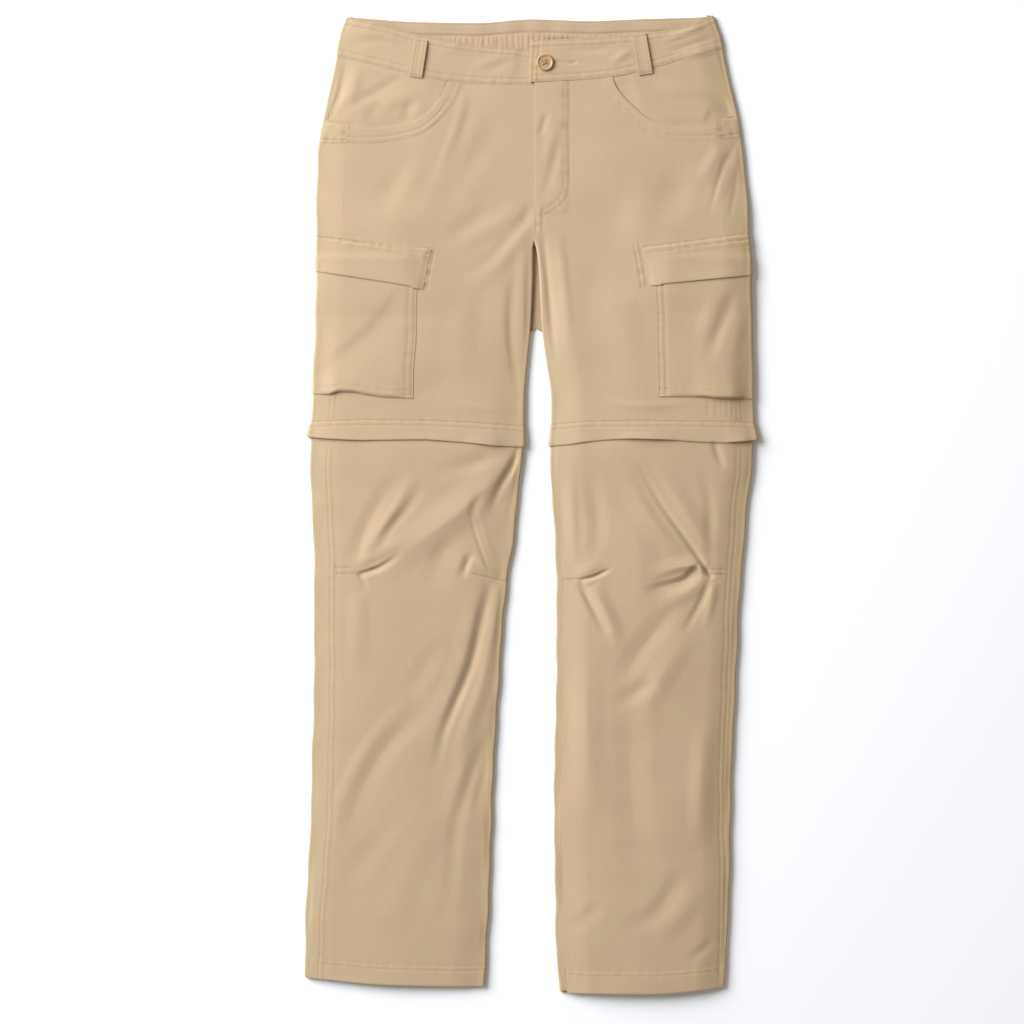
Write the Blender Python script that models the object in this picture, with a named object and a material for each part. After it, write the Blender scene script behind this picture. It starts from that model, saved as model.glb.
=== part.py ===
"""Convertible zip-off trousers, laid flat on their back.

+X is the wearer's left, +Y is towards the waist and +Z is up from the floor, which is at z = 0.
Sizes in the tables are millimetres, and the meshes are made in metres.

Each half of the trousers is one flattened tube. A place on it is (y, s): y is how far up the garment it is,
and s is the distance round the section from the outermost point of the side, positive over the top and negative
underneath.
"""

import math

import bmesh
import bpy
import numpy as np

MM = 0.001

# How thick the cloth is, and how it lies
CLOTH = 1.2  # wall of a panel
BAND_WALL = 1.4  # wall of a waistband
SEAM_GAP = 0.3  # between two pieces that are sewn edge to edge
LAYER = 1.6  # from one layer's outer face to the next one's: a wall and the air between
EDGE_R = 2.4  # radius of the folds down each side
QUARTER = EDGE_R * math.pi / 2  # a quarter turn of that fold, along the cloth
PUFF = 1.6  # how far the front stands up in the middle, so that 4 mm of air is inside
PUFF_REACH = 40.0  # how far in from a side fold the puff is full
LEAST_TOP = 3.4  # lowest that a crease brings the front's outer face

# Places on the garment
CENTRE_FRONT = 3.5  # x of the seam down the front
CENTRE_BACK = 5.0
CROTCH = 190.0  # y where the two legs part
SLIT_TOP = 293.0  # y where the front of the crotch starts to fall open
BAND_RISE = 0.3  # how proud of the panels the waistband is

INWARD = {"right": 1, "left": -1}  # the wearer's right leg is at -X


def table(names, *rows):
    """Columns by name, sorted by the first one, which is the position that the others are read at."""
    ordered = sorted(rows)
    return {name: np.array(values, float) for name, values in zip(names.split(), zip(*ordered))}


def read(rows, column, at):
    """A smooth curve through a column of a table, which never passes its values, read at the positions at."""
    keys, values = next(iter(rows.values())), rows[column]
    rates = np.diff(values) / np.diff(keys)
    same_way = rates[1:] * rates[:-1] > 0
    total = np.where(same_way, rates[1:] + rates[:-1], 1)
    turning = np.where(same_way, 2 * rates[1:] * rates[:-1] / total, 0)
    slopes = np.concatenate([rates[:1], turning, rates[-1:]])
    at = np.clip(at, keys[0], keys[-1])
    k = np.clip(np.searchsorted(keys, at) - 1, 0, len(keys) - 2)
    span = keys[k + 1] - keys[k]
    t = (at - keys[k]) / span
    start = values[k] * (1 + 2 * t) * (1 - t) ** 2 + slopes[k] * span * t * (1 - t) ** 2
    end = values[k + 1] * t * t * (3 - 2 * t) + slopes[k + 1] * span * t * t * (t - 1)
    return start + end


def ease(t):
    """From 0 to 1, level at both ends."""
    t = np.clip(t, 0, 1)
    return t * t * (3 - 2 * t)


# x of the outline at the side of each leg
OUTER = table(
    "y right left",
    (-523, -246.4, 210.0),
    (-474, -246.4, 213.2),
    (-408, -243.7, 216.5),
    (-343, -240.4, 217.1),
    (-278, -238.8, 219.2),
    (-213, -237.2, 222.0),
    (-147, -236.6, 225.2),
    (-82, -236.6, 228.5),
    (-39, -237.2, 232.3),
    (5, -239.4, 236.1),
    (48, -240.4, 241.5),
    (81, -239.4, 242.1),
    (114, -238.2, 242.0),
    (190, -234.5, 240.5),
    (244, -233.5, 239.0),
    (331, -233.9, 236.1),
    (375, -232.8, 231.7),
    (397, -230.7, 229.0),
    (418, -227.4, 226.3),
    (440, -222.0, 220.9),
    (484, -212.7, 211.1),
    (505, -209.4, 207.3),
    (523, -204.0, 201.3),
    (533, -200.0, 197.5),
)

# x of the innermost point of each front: on the hips just past the seam, below them the edge of the opening,
# and then the inseam side
INNER = table(
    "y right left",
    (-523, -51.1, 30.5),
    (-474, -47.9, 26.7),
    (-408, -44.6, 26.1),
    (-343, -43.0, 24.5),
    (-278, -40.3, 25.0),
    (-213, -35.9, 27.2),
    (-147, -32.1, 27.2),
    (-82, -26.1, 27.2),
    (-39, -18.5, 26.1),
    (5, -14.7, 22.8),
    (48, -9.8, 20.7),
    (81, -7.6, 21.8),
    (114, -7.1, 21.8),
    (157, -3.8, 16.3),
    (190, -0.5, 12.0),
    (233, 1.6, 9.8),
    (255, 2.2, 8.7),
    (277, 2.2, 6.0),
    (SLIT_TOP, CENTRE_FRONT + EDGE_R, CENTRE_FRONT - EDGE_R),
    (310, CENTRE_FRONT + EDGE_R, CENTRE_FRONT - EDGE_R),
    (533, CENTRE_FRONT + EDGE_R, CENTRE_FRONT - EDGE_R),
)

# How far the seams are turned on to the front, along the cloth from the outermost and the innermost point
SEAMS = table(
    "y right_side left_side right_inseam left_inseam",
    (-523, 23.0, 9.5, 1.0, 9.0),
    (-400, 26.0, 13.5, 1.0, 8.7),
    (-300, 27.0, 16.5, 1.0, 8.5),
    (-100, 26.0, 18.5, 1.0, 8.2),
    (0, 26.0, 20.0, 1.0, 4.2),
    (80, 27.0, 21.5, 1.0, 1.0),
    (190, 29.0, 25.0, 1.0, 1.0),
    (275, 31.0, 27.5, 0.0, 0.0),
    (SLIT_TOP, 31.4, 27.8, QUARTER, QUARTER),
    (310, 31.8, 28.0, QUARTER, QUARTER),
    (533, 32.0, 28.0, QUARTER, QUARTER),
)

# Front waistband: y of its top and lower edges, s in from the side
BAND_EDGES = {
    "right": table(
        "s top low",
        (0, 530.5, 488.5),
        (24, 526.0, 483.0),
        (45, 521.5, 478.0),
        (94, 509.5, 466.8),
        (140, 501.0, 457.0),
        (185, 497.0, 452.6),
        (222, 495.0, 452.0),
    ),
    "left": table(
        "s top low",
        (0, 533.0, 497.2),
        (28, 522.0, 490.0),
        (77, 513.0, 476.0),
        (128, 508.0, 465.1),
        (173, 506.0, 461.3),
        (217, 504.3, 459.1),
    ),
}

BAND_SIDE = -1.0  # s where the front and the back waistband are sewn together
BAND_COLUMNS = [BAND_SIDE, 0, QUARTER / 2, QUARTER, 14, 24, 34, 46, 76]
UNDERLAP = {"from": 194.0, "to": 206.0, "end": 246.0}  # s where the right one dips under the left, its end

# Back waistband: y of its top edge across the garment
BACK_BAND = table(
    "x top",
    (-212, 531.5),
    (-185, 528.4),
    (-123, 524.4),
    (-59, 523.3),
    (1, 527.7),
    (64, 525.5),
    (119, 527.7),
    (180, 529.0),
    (210, 533.0),
)
GATHERS = {"from": -112.0, "to": 172.0, "count": 18, "height": 0.8}

# Hand pockets: y of the opening's edge, s in from the side, and where it meets the waistband
SCOOP = {
    "right": table(
        "s y", (24, 404), (47, 402.5), (82, 401.5), (109, 408), (130, 420), (138, 434), (140.5, 457)
    ),
    "left": table(
        "s y", (24, 411), (50, 409.5), (74, 410), (99, 418.8), (115, 435), (125, 451), (128, 465.1)
    ),
}
FACING_UNDER = 8.0  # how far the pocket's facing runs on beneath the front
TAB_TOP = {"right": 418.0, "left": 423.0}  # y of the top of the tab that the back ends in over the pocket
TAB_END = {"right": 33.0, "left": 29.0}  # s just past the end of that tab

# Side seam on the hip: the back comes round on to the front, narrowly above its tab
HIP_SEAM = {
    "right": table("y s", (404, 32), (411, 32), (418, 7), (425, 6.5), (445, 11), (465, 16), (488, 20)),
    "left": table("y s", (404, 28), (416, 28), (423, 6), (445, 6), (497, 7)),
}

# The band that covers the zip, and the zip under it: y of the band's edges
COVER = {
    "right": table(
        "s top low",
        (0, 92.0, 74.0),
        (60, 94.0, 69.8),
        (120, 93.0, 70.6),
        (175, 91.0, 66.9),
        (234, 86.5, 62.6),
    ),
    "left": table(
        "s top low",
        (0, 90.0, 70.5),
        (45, 92.0, 66.9),
        (132, 92.5, 71.5),
        (190, 92.0, 67.5),
        (234, 87.6, 62.6),
    ),
}
COVER_FLARE = {"side": 4.6, "inseam": 1.6}  # how far its free edge stands off the leg
ZIP_ABOVE = 5.0  # from the band's lower edge up to the zip
ZIP_HEIGHT = 6.5

# Bottom edges of the legs: y, s in from the side
HEMS = table(
    "s right left",
    (0, -514.5, -524.5),
    (20, -516.5, -527.8),
    (85, -522.2, -532.4),
    (168, -524.4, -531.6),
    (200, -524.6, -527.5),
)

# Cargo pockets: s of their front edges, and y of the bag and flap edges at the side and at the front edge
CARGO = {
    "right": {"front": 110.5, "bag_top": 264.0, "bag_low": (123.0, 117.5), "flap_front": (127.0, 117.0),
              "flap_top": (292.7, 280.0), "flap_low": (253.7, 233.8)},
    "left": {"front": 105.0, "bag_top": 264.0, "bag_low": (117.5, 119.0), "flap_front": (118.6, 111.4),
             "flap_top": (296.5, 281.2), "flap_low": (249.2, 237.5)},
}
CARGO_BACK = -80.0  # s of their back edges, under the leg
BELLOWS = 3.4  # how far a bag stands off at its bottom edge

# What lies under the back lifts it off the floor
FLAT_ROUND = 16.0  # level margin round such a spot
RAMP = 24.0  # slope from there down to the floor

# Largest creases on the front: from, to, height, half widths on the left and right of the way, and where it is
# highest along the way
CREASES = [
    dict(zip("x0 y0 x1 y1 height left right peak".split(), row))
    for row in (
        (-28, 60, -160, -46, 4.2, 18, 26, 0.45),
        (-122, 34, -178, -60, 2.8, 14, 14, 0.55),
        (-190, -74, -140, -54, 3.2, 18, 10, 0.35),
        (-44, -86, -66, -170, -2.0, 12, 12, 0.25),
        (-18, 52, -44, -8, -1.6, 10, 10, 0.25),
        (-70, -60, -24, -86, 2.2, 12, 10, 0.35),
        (112, 52, 190, -68, 3.0, 14, 26, 0.70),
        (196, -70, 112, -92, 3.6, 10, 18, 0.30),
        (52, -84, 92, -64, 3.2, 18, 10, 0.35),
        (54, -88, 80, -136, -1.5, 11, 11, 0.3),
        (190, -84, 168, -140, -1.6, 11, 11, 0.3),
        (-6, 306, -96, 214, 1.6, 22, 22, 0.35),
        (-20, 232, -16, 120, 2.2, 12, 12, 0.45),
    )
]

BUTTON = {"x": 15.2, "y": 480.4, "radius": 9.2, "height": 2.6, "rim": 1.6, "dish": 0.7, "hole": 0.9,
          "hole_circle": 2.5}

LOOPS = {  # belt loops: x and y of the middle of each end, width, how far the middle stands off
    "right": {"top": (-119.6, 502.0), "low": (-125.4, 461.3), "width": 14.0, "bow": 2.6},
    "left": {"top": (115.6, 506.5), "low": (123.1, 468.0), "width": 14.0, "bow": 2.6},
}

MATERIALS = {  # colour, roughness, metallic
    "stretch_nylon": ((0.62, 0.48, 0.30), 0.85, 0.0),
    "elastic_lining": ((0.66, 0.50, 0.34), 0.9, 0.0),
    "zip_tape": ((0.52, 0.40, 0.25), 0.6, 0.0),
    "button_resin": ((0.50, 0.34, 0.18), 0.35, 0.0),
}


def inner_edge(side, y, back):
    """x of the innermost point: the back is whole across the crotch, down to where the legs part."""
    front = read(INNER, side, y)
    if not back:
        return front
    whole = CENTRE_BACK + INWARD[side] * EDGE_R
    return front + (whole - front) * ease((y - CROTCH + 4) / 8)


def under_lift(side, x, y):
    """Height of the floor under the back: the cargo pocket's back half and the cover band lie there."""
    inset = (x - read(OUTER, side, y)) * INWARD[side]
    cargo, cover = CARGO[side], COVER[side]
    reach = -CARGO_BACK
    spots = (
        (reach, min(cargo["bag_low"]), cargo["bag_top"], LAYER),
        (reach, min(cargo["flap_low"]), max(cargo["flap_top"]), 2 * LAYER),
        (None, min(cover["low"]), max(cover["top"]), LAYER),
    )
    lift = np.zeros(np.broadcast(x, y).shape)
    for width, low, top, height in spots:
        along = 1 - ease((np.maximum(low - y, y - top) - FLAT_ROUND) / RAMP)
        across = 1 if width is None else 1 - ease((inset - width - FLAT_ROUND) / RAMP)
        lift = np.maximum(lift, height * along * across)
    return lift


def crease(x, y, fold):
    """Height of one crease: a soft ridge, or a trough if its height is negative, along a straight way."""
    along = np.array([fold["x1"] - fold["x0"], fold["y1"] - fold["y0"]])
    length = np.hypot(*along)
    ux, uy = along / length
    dx, dy = x - fold["x0"], y - fold["y0"]
    t = np.clip((dx * ux + dy * uy) / length, 0, 1)
    off = dy * ux - dx * uy
    share = np.abs(off) / np.where(off > 0, fold["left"], fold["right"])
    power = math.log(0.5) / math.log(fold["peak"])
    return fold["height"] * np.sin(math.pi * t**power) * np.maximum(1 - share**2, 0) ** 2


def crown(side, x, y):
    """How far the front's outer face is above the top of the side folds."""
    outer, inner = read(OUTER, side, y), read(INNER, side, y)
    from_side = np.abs(x - outer) - EDGE_R
    from_inseam = np.abs(inner - x) - EDGE_R
    split = 1 - ease((y - CROTCH) / (SLIT_TOP - CROTCH))
    puff = PUFF * ease(from_side / PUFF_REACH) * (1 - split * (1 - ease(from_inseam / PUFF_REACH)))
    folds = sum(crease(x, y, fold) for fold in CREASES)
    edge = ease(from_side / 8) * (1 - split * (1 - ease(from_inseam / 8)))
    return np.maximum(puff + folds * edge, LEAST_TOP - 2 * EDGE_R)


def section(side, y, s, back=False, flare=(0, 0)):
    """Point on the outer face of the tube. Past the innermost point s runs on round to the other face."""
    inward = INWARD[side]
    outer = read(OUTER, side, y) - inward * flare[0]
    inner = inner_edge(side, y, back) + inward * flare[1]
    width = (inner - outer) * inward
    face, run = np.where(s < 0, -1, 1), np.abs(s)
    left = width - 2 * EDGE_R + 2 * QUARTER - run  # along the cloth to the innermost point
    turn_out = np.clip(run / EDGE_R, 0, math.pi / 2)
    turn_in = np.clip(left / EDGE_R, -math.pi / 2, math.pi / 2)
    by_outer = EDGE_R * (1 - np.cos(turn_out)) + np.maximum(run - QUARTER, 0)
    by_inner = width - EDGE_R * (1 - np.cos(turn_in)) - np.maximum(-left - QUARTER, 0)
    near_inner = left < QUARTER
    x = outer + inward * np.where(near_inner, by_inner, by_outer)
    up = face * np.where(near_inner, np.sin(turn_in), np.sin(turn_out))
    z = under_lift(side, x, y) + EDGE_R * (1 + up) + np.maximum(up, 0) * crown(side, x, y)
    return np.stack(np.broadcast_arrays(x, y, z), axis=-1)


def lifted(side, y, s, level, back=False, flare=(0, 0)):
    """Points a level out from the tube's face, along its normal, and the normals."""
    step = 0.3
    run = section(side, y, s + step, back, flare) - section(side, y, s - step, back, flare)
    rise = section(side, y + step, s, back, flare) - section(side, y - step, s, back, flare)
    normal = np.cross(run, rise) * INWARD[side]
    normal /= np.linalg.norm(normal, axis=-1, keepdims=True)
    return section(side, y, s, back, flare) + normal * np.asarray(level)[..., None], normal


def spread(near, count, far):
    """Columns of a piece as (share of the way across, offset): near its start, between, and near its end."""
    t = np.arange(1, count + 1) / (count + 1)
    share = np.concatenate([np.zeros(len(near)), t, np.ones(len(far))])
    return share, np.concatenate([near, near[-1] * (1 - t) - far[0] * t, -np.array(far, float)])


def columns_between(start, end, columns):
    """s of each column at the heights y, from a piece's edges start(y) and end(y)."""
    share, offset = columns
    return lambda y: start(y) * (1 - share) + end(y) * share + offset


def grid_on(places, rows, top, low, fade=(250.0, 150.0)):
    """(y, s) over a piece: rows are level between the fade heights, and follow its edges outside them."""
    rows = np.array(rows, float)[:, None]
    upper = np.clip((rows - fade[0]) / (rows[0] - fade[0]), 0, 1)
    lower = np.clip((fade[1] - rows) / (fade[1] - rows[-1]), 0, 1)
    s = places(rows)
    y = rows + (top(s) - rows[0]) * upper + (low(s) - rows[-1]) * lower
    return y, places(y)


def material(name):
    """The piece's Principled material, made once."""
    found = bpy.data.materials.get(name)
    if found:
        return found
    colour, roughness, metallic = MATERIALS[name]
    made = bpy.data.materials.new(name)
    made.use_nodes = True
    made.diffuse_color = (*colour, 1)
    shader = made.node_tree.nodes["Principled BSDF"]
    shader.inputs["Base Color"].default_value = (*colour, 1)
    shader.inputs["Roughness"].default_value = roughness
    shader.inputs["Metallic"].default_value = metallic
    return made


def finish(name, bm, material_name):
    """A bmesh made an object, shaded smooth but for its sharp edges."""
    mesh = bpy.data.meshes.new(name)
    bm.to_mesh(mesh)
    bm.free()
    mesh.shade_smooth()
    mesh.set_sharp_from_angle(angle=math.radians(50))
    mesh.materials.append(material(material_name))
    made = bpy.data.objects.new(name, mesh)
    bpy.context.scene.collection.objects.link(made)
    return made


def shell(name, outer, inner, material_name, ring=False):
    """A closed wall between two grids of points, outer and inner. A ring is closed across as well."""
    bm = bmesh.new()
    faces = [[[bm.verts.new(place * MM) for place in row] for row in grid] for grid in (outer, inner)]
    skin, lining = faces
    last_row, count = len(outer) - 1, outer.shape[1]
    steps = [(j, (j + 1) % count) for j in range(count if ring else count - 1)]
    for i in range(last_row):
        for j, k in steps:
            a, b, c, d = (i, j), (i, k), (i + 1, k), (i + 1, j)
            height = [outer[corner][2] for corner in (a, b, c, d)]
            # the diagonal that is nearer level runs along a crease
            along = abs(height[0] - height[2]) <= abs(height[1] - height[3])
            for corners in ((a, b, c), (a, c, d)) if along else ((a, b, d), (b, c, d)):
                bm.faces.new([skin[m][n] for m, n in corners])
                bm.faces.new([lining[m][n] for m, n in reversed(corners)])
    rim = [((0, j), (0, k)) for j, k in steps] + [((last_row, k), (last_row, j)) for j, k in steps]
    if not ring:
        rim += [((i, count - 1), (i + 1, count - 1)) for i in range(last_row)]
        rim += [((i + 1, 0), (i, 0)) for i in range(last_row)]
    for (i, j), (m, n) in rim:
        bm.faces.new((skin[m][n], skin[i][j], lining[i][j], lining[m][n]))
    bm.normal_update()
    bm.faces.ensure_lookup_table()
    outward = skin[0][0].co - lining[0][0].co
    if bm.faces[0].normal.dot(outward) < 0:
        bmesh.ops.reverse_faces(bm, faces=bm.faces)
    return finish(name, bm, material_name)


def cloth(name, points, normals, wall=CLOTH, material_name="stretch_nylon", ring=False):
    """A wall of cloth behind a grid of outer points."""
    return shell(name, points, points - normals * wall, material_name, ring)


def round_section(side):
    """s of the innermost point at the zip."""
    return (read(INNER, side, 78.0) - read(OUTER, side, 78.0)) * INWARD[side] - 2 * EDGE_R + 2 * QUARTER


def knee_edge(side, column, s):
    """y of an edge of the cover band: by its table over the front, and straight across underneath."""
    reach = round_section(side)
    over = read(COVER[side], column, np.where(np.abs(s) > reach, 2 * reach - np.abs(s), np.abs(s)))
    ends = read(COVER[side], column, np.array([0.0, reach]))
    under = ends[0] + (ends[1] - ends[0]) * np.abs(s) / reach
    return np.where((s < 0) & (np.abs(s) < reach), under, over)


def zip_line(side, s, edge):
    """y of the zip: edge 0 is its lower edge and 1 its upper one."""
    return knee_edge(side, "low", s) + ZIP_ABOVE + edge * ZIP_HEIGHT


def side_seam(side):
    """s of the side seam, where the back's strip on the front ends."""
    return lambda y: read(SEAMS, side + "_side", y)


def front_end(side):
    """s of a front panel's inner edge."""
    def end(y):
        width = (read(INNER, side, y) - read(OUTER, side, y)) * INWARD[side]
        return width - 2 * EDGE_R + 2 * QUARTER - read(SEAMS, side + "_inseam", y) - SEAM_GAP / 2
    return end


def front_top(side):
    """y of a front panel's top edge: the hand pocket's opening, and past it the waistband."""
    scoop, band = SCOOP[side], BAND_EDGES[side]
    def top(s):
        under_band = read(band, "low", s) - SEAM_GAP
        return np.where(s < scoop["s"][-1], np.minimum(read(scoop, "y", s), under_band), under_band)
    return top


def panel(name, side, places, rows, top, low, level=0.0, back=False, fade=(250.0, 150.0), **more):
    """One flat-cut piece laid on its half's tube."""
    y, s = grid_on(places, rows, top, low, fade)
    raised = level(y, s) if callable(level) else np.full(y.shape, level)
    points, normals = lifted(side, y, s, raised, back)
    return cloth(name, points, normals, **more)


EDGE_TURN = (QUARTER * 2.2, QUARTER, QUARTER * 2 / 3, QUARTER / 3, 0.0)
PANEL_START = [0, 10, 22, 40]
THIGH_ROWS = [385, 355, 333, 321, 309, 270, 233, 218, 206, 194, 186, 160, 134, 122, 110]
OVER_POCKET_ROWS = [467, 447, 430]
LEG_ROWS = [62, 54, 46, 38, 26, 14, -10, -34, -62, -87, -130, -210, -300, -420]
KNEE_ROWS = [62, 54, 46, 38, 26, 14, 2, -10, -22, -34, -48, -62, -74, -87, -105, -130, -165, -210, -300, -420]


def front_upper(side):
    """Front of the hip and thigh, from the waistband and the hand pocket's edge down to the zip."""
    last, seam = SCOOP[side]["s"][-1], side_seam(side)
    near = PANEL_START + [64, *(last - seam(450.0) - np.array([26, 15, 8, 3.5, 1, -1.5]))]
    top, low = front_top(side), lambda s: zip_line(side, s, 1) + SEAM_GAP
    edge = seam(100.0)
    panel(
        f"front_thigh_{side}", side,
        columns_between(lambda y: seam(y) + SEAM_GAP / 2, front_end(side), spread(near, 3, EDGE_TURN)),
        [float(top(edge)), *THIGH_ROWS, float(low(edge))], top, low,
    )


def back_top(side):
    """y of a back panel's top edge, under the waistband."""
    band = BAND_EDGES[side]
    def top(s):
        x = read(OUTER, side, 484.0) + INWARD[side] * np.maximum(np.abs(s) - QUARTER, 0)
        return np.where(s > 0, read(band, "low", s), back_band_low(x)) - SEAM_GAP
    return top


def back_places(side, flat):
    """s of a back panel's columns: the strip on the front, the side fold, the flat of it, and its inner edge."""
    def places(y):
        y = np.broadcast_to(y, (len(y), 13 + len(flat)))
        whole = (inner_edge(side, y, True) - read(OUTER, side, y)) * INWARD[side] - 2 * EDGE_R + 2 * QUARTER
        hip = HIP_SEAM[side]
        strip = np.where(y > hip["y"][0], read(hip, "s", y), side_seam(side)(y)) - SEAM_GAP / 2
        seam = read(SEAMS, side + "_inseam", y) - SEAM_GAP / 2
        parted = ease((CROTCH + 4 - y) / 8)
        hip_end = -QUARTER - SEAM_GAP / 2 - np.array([5.0, 4.0, 3.0, 2.0, 1.0, 0.0])
        turned = (np.minimum(seam / 3, QUARTER / 2), np.minimum(seam * 2 / 3, QUARTER), seam)
        leg_end = (-QUARTER, -QUARTER / 2, 0, *turned)
        columns = [strip, (strip + QUARTER) / 2]
        columns += [fold * QUARTER + 0 * y for fold in (1, 0.5, 0, -0.5, -1)]
        columns += [-s + 0 * y for s in flat]
        columns += [-(whole + hip * (1 - parted) + leg * parted) for hip, leg in zip(hip_end, leg_end)]
        return np.stack([column[:, j] for j, column in enumerate(columns)], axis=1)
    return places


def back_upper(side):
    """Back of the hip and thigh. It is cut wider than its front, and comes round the side on to the front."""
    top, low = back_top(side), lambda s: zip_line(side, s, 1) + SEAM_GAP
    tab = TAB_TOP[side] - np.array([0.0, 2.3, 4.6, 7.0])
    seam = side_seam(side)
    opening = float(read(SCOOP[side], "y", seam(404.0)))
    panel(
        f"back_thigh_{side}", side, back_places(side, (60, 96, 120)),
        [float(top(10.0)), *OVER_POCKET_ROWS, *tab, opening, *THIGH_ROWS[:10], CROTCH, *THIGH_ROWS[10:],
         float(low(seam(100.0)))],
        top, low, back=True,
    )


def hem(side):
    """y of a leg's bottom edge, by how far in from the side it is."""
    return lambda s: read(HEMS, side, np.abs(s))


def front_lower(side):
    """Front of the zip-off leg, with the creases at the knee darts."""
    seam = side_seam(side)
    top, low, edge = lambda s: zip_line(side, s, 0) - SEAM_GAP, hem(side), seam(0.0)
    panel(
        f"front_leg_{side}", side,
        columns_between(lambda y: seam(y) + SEAM_GAP / 2, front_end(side),
                        spread(PANEL_START, 10, EDGE_TURN)),
        [float(top(edge)), *KNEE_ROWS, float(low(edge))], top, low, fade=(20.0, -200.0),
    )


def back_lower(side):
    """Back of the zip-off leg, which comes round the side on to the front like the thigh's."""
    top, low, edge = lambda s: zip_line(side, s, 0) - SEAM_GAP, hem(side), side_seam(side)(0.0)
    panel(
        f"back_leg_{side}", side, back_places(side, (60, 120)),
        [float(top(edge)), *LEG_ROWS, float(low(edge))], top, low, back=True, fade=(20.0, -200.0),
    )


def ring_on(name, side, top, low, rows, level, flare, material_name):
    """A band all round the leg."""
    over = round_section(side)
    near = np.array([0, QUARTER / 2, QUARTER, 14, 24, 34, 46])
    half = np.concatenate([near, np.linspace(46, over - 46, 10)[1:-1], over - near[::-1]])
    around = np.concatenate([-half[:0:-1], half[:-1]])
    points, normals = [], []
    for v in rows:
        y = top(around) * (1 - v) + low(around) * v
        spread_out = (flare[0] * v, flare[1] * v)
        wide = (read(INNER, side, y) - read(OUTER, side, y)) * INWARD[side] + sum(spread_out)
        s = around * (wide - 2 * EDGE_R + 2 * QUARTER) / over
        placed, facing = lifted(side, y, s, np.full(s.shape, level), flare=spread_out)
        points.append(placed)
        normals.append(facing)
    cloth(name, np.array(points), np.array(normals), CLOTH, material_name, ring=True)


def knee_zip(side):
    """The closed zip that joins the leg to the thigh, tape and teeth as one flat ring."""
    ring_on(
        f"knee_zip_{side}", side, lambda s: zip_line(side, s, 1), lambda s: zip_line(side, s, 0), (0, 1), 0.0,
        (0, 0), "zip_tape",
    )


def cover_band(side):
    """The band sewn on above the zip, which hangs free over it."""
    ring_on(
        f"zip_cover_{side}", side, lambda s: knee_edge(side, "top", s), lambda s: knee_edge(side, "low", s),
        (0, 0.5, 1), LAYER, (COVER_FLARE["side"], COVER_FLARE["inseam"]), "stretch_nylon",
    )


def between(pair, s, reach):
    """A cargo pocket's edge: its value at the side and under the leg, sloping to that at the front edge."""
    return pair[0] + (pair[1] - pair[0]) * np.clip(s / reach, 0, 1)


def bag_bulge(side, y, s):
    """How far the bag stands off: most at its bottom edge, nothing at its sewn edge or under the leg."""
    cargo = CARGO[side]
    low = between(cargo["bag_low"], s, cargo["front"])
    down = np.clip((cargo["bag_top"] - y) / (cargo["bag_top"] - low), 0, 1)
    return BELLOWS * down**1.5 * ease((s - QUARTER) / 22) * ease((cargo["front"] - s) / 24)


CARGO_COLUMNS = [CARGO_BACK, -45, -12, -QUARTER, -QUARTER / 2, 0, QUARTER / 2, QUARTER, 14, 24, 34, 46, 64]
TO_FRONT_EDGE = np.array([24, 16, 8, 0])
BAG_ROWS = [264, 233, 218, 206, 194, 160]


def cargo_bag(side):
    """The bellows pocket: it wraps the side, sewn down along its front edge, and turns in at the bottom."""
    cargo = CARGO[side]
    s = np.concatenate([CARGO_COLUMNS, cargo["front"] - TO_FRONT_EDGE])
    low = between(cargo["bag_low"], s, cargo["front"])
    y = np.stack([*(np.full(s.shape, row) for row in BAG_ROWS), (low + BAG_ROWS[-1]) / 2, low, low - 1.3])
    s = np.broadcast_to(s, y.shape)
    level = LAYER + bag_bulge(side, y, s)
    level[-1] = LAYER
    points, normals = lifted(side, y, s, level)
    cloth(f"cargo_bag_{side}", points, normals)


def cargo_flap(side):
    """The flap over the bag's mouth, with the strip that it is sewn on by."""
    cargo = CARGO[side]
    upper, lower = cargo["flap_front"]
    s = np.concatenate([CARGO_COLUMNS, cargo["front"] - TO_FRONT_EDGE, [upper]])
    top, low = between(cargo["flap_top"], s, upper), between(cargo["flap_low"], s, upper)
    y = np.stack([top, 0 * s + 276, 0 * s + 271, 0 * s + 266, (low + 266) / 2, low])
    s = np.array(np.broadcast_to(s, y.shape))
    s[:, -1] = upper + (lower - upper) * (top[-1] - y[:, -1]) / (top[-1] - low[-1])
    over_bag = ease((cargo["bag_top"] + 12 - y) / 10) * ease((cargo["front"] + 10 - s) / 8)
    points, normals = lifted(side, y, s, LAYER + (LAYER + bag_bulge(side, y, s)) * over_bag)
    cloth(f"cargo_flap_{side}", points, normals)


def hand_pocket_facing(side):
    """The cloth inside the hand pocket's opening: level with the waistband, sunk under the pocket's edge."""
    scoop, band = SCOOP[side], BAND_EDGES[side]
    last, tab = scoop["s"][-1], TAB_TOP[side]

    def edge(s):
        """y of what lies over the facing's lower edge: the tab at the side, and then the pocket's edge."""
        pocket = read(scoop, "y", np.minimum(s, last))
        return np.where(s < TAB_END[side], np.maximum(tab, pocket), pocket)

    def start(y):
        return np.where(y > tab, read(HIP_SEAM[side], "s", y) + SEAM_GAP / 2, 8)

    def top(s):
        return read(band, "low", s) - SEAM_GAP

    def low(s):
        past = top(s) - 9
        return np.where(s < last - 1, np.minimum(edge(s) - FACING_UNDER, past), past)

    def level(y, s):
        near_low = 1 - ease((y - edge(s) - 3) / 14)
        near_inner = ease((s - last + 30) / 18)
        return -LAYER * np.maximum(near_low, near_inner)

    rows = [float(top(10.0)), *OVER_POCKET_ROWS, tab + 1, tab - FACING_UNDER]
    panel(
        f"pocket_facing_{side}", side,
        columns_between(start, lambda y: 0 * y + last + 8, spread([0, 5, 12, 20], 6, [14, 9, 4, 0])),
        rows, top, low, level, fade=(rows[-1], rows[0]),
    )


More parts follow.
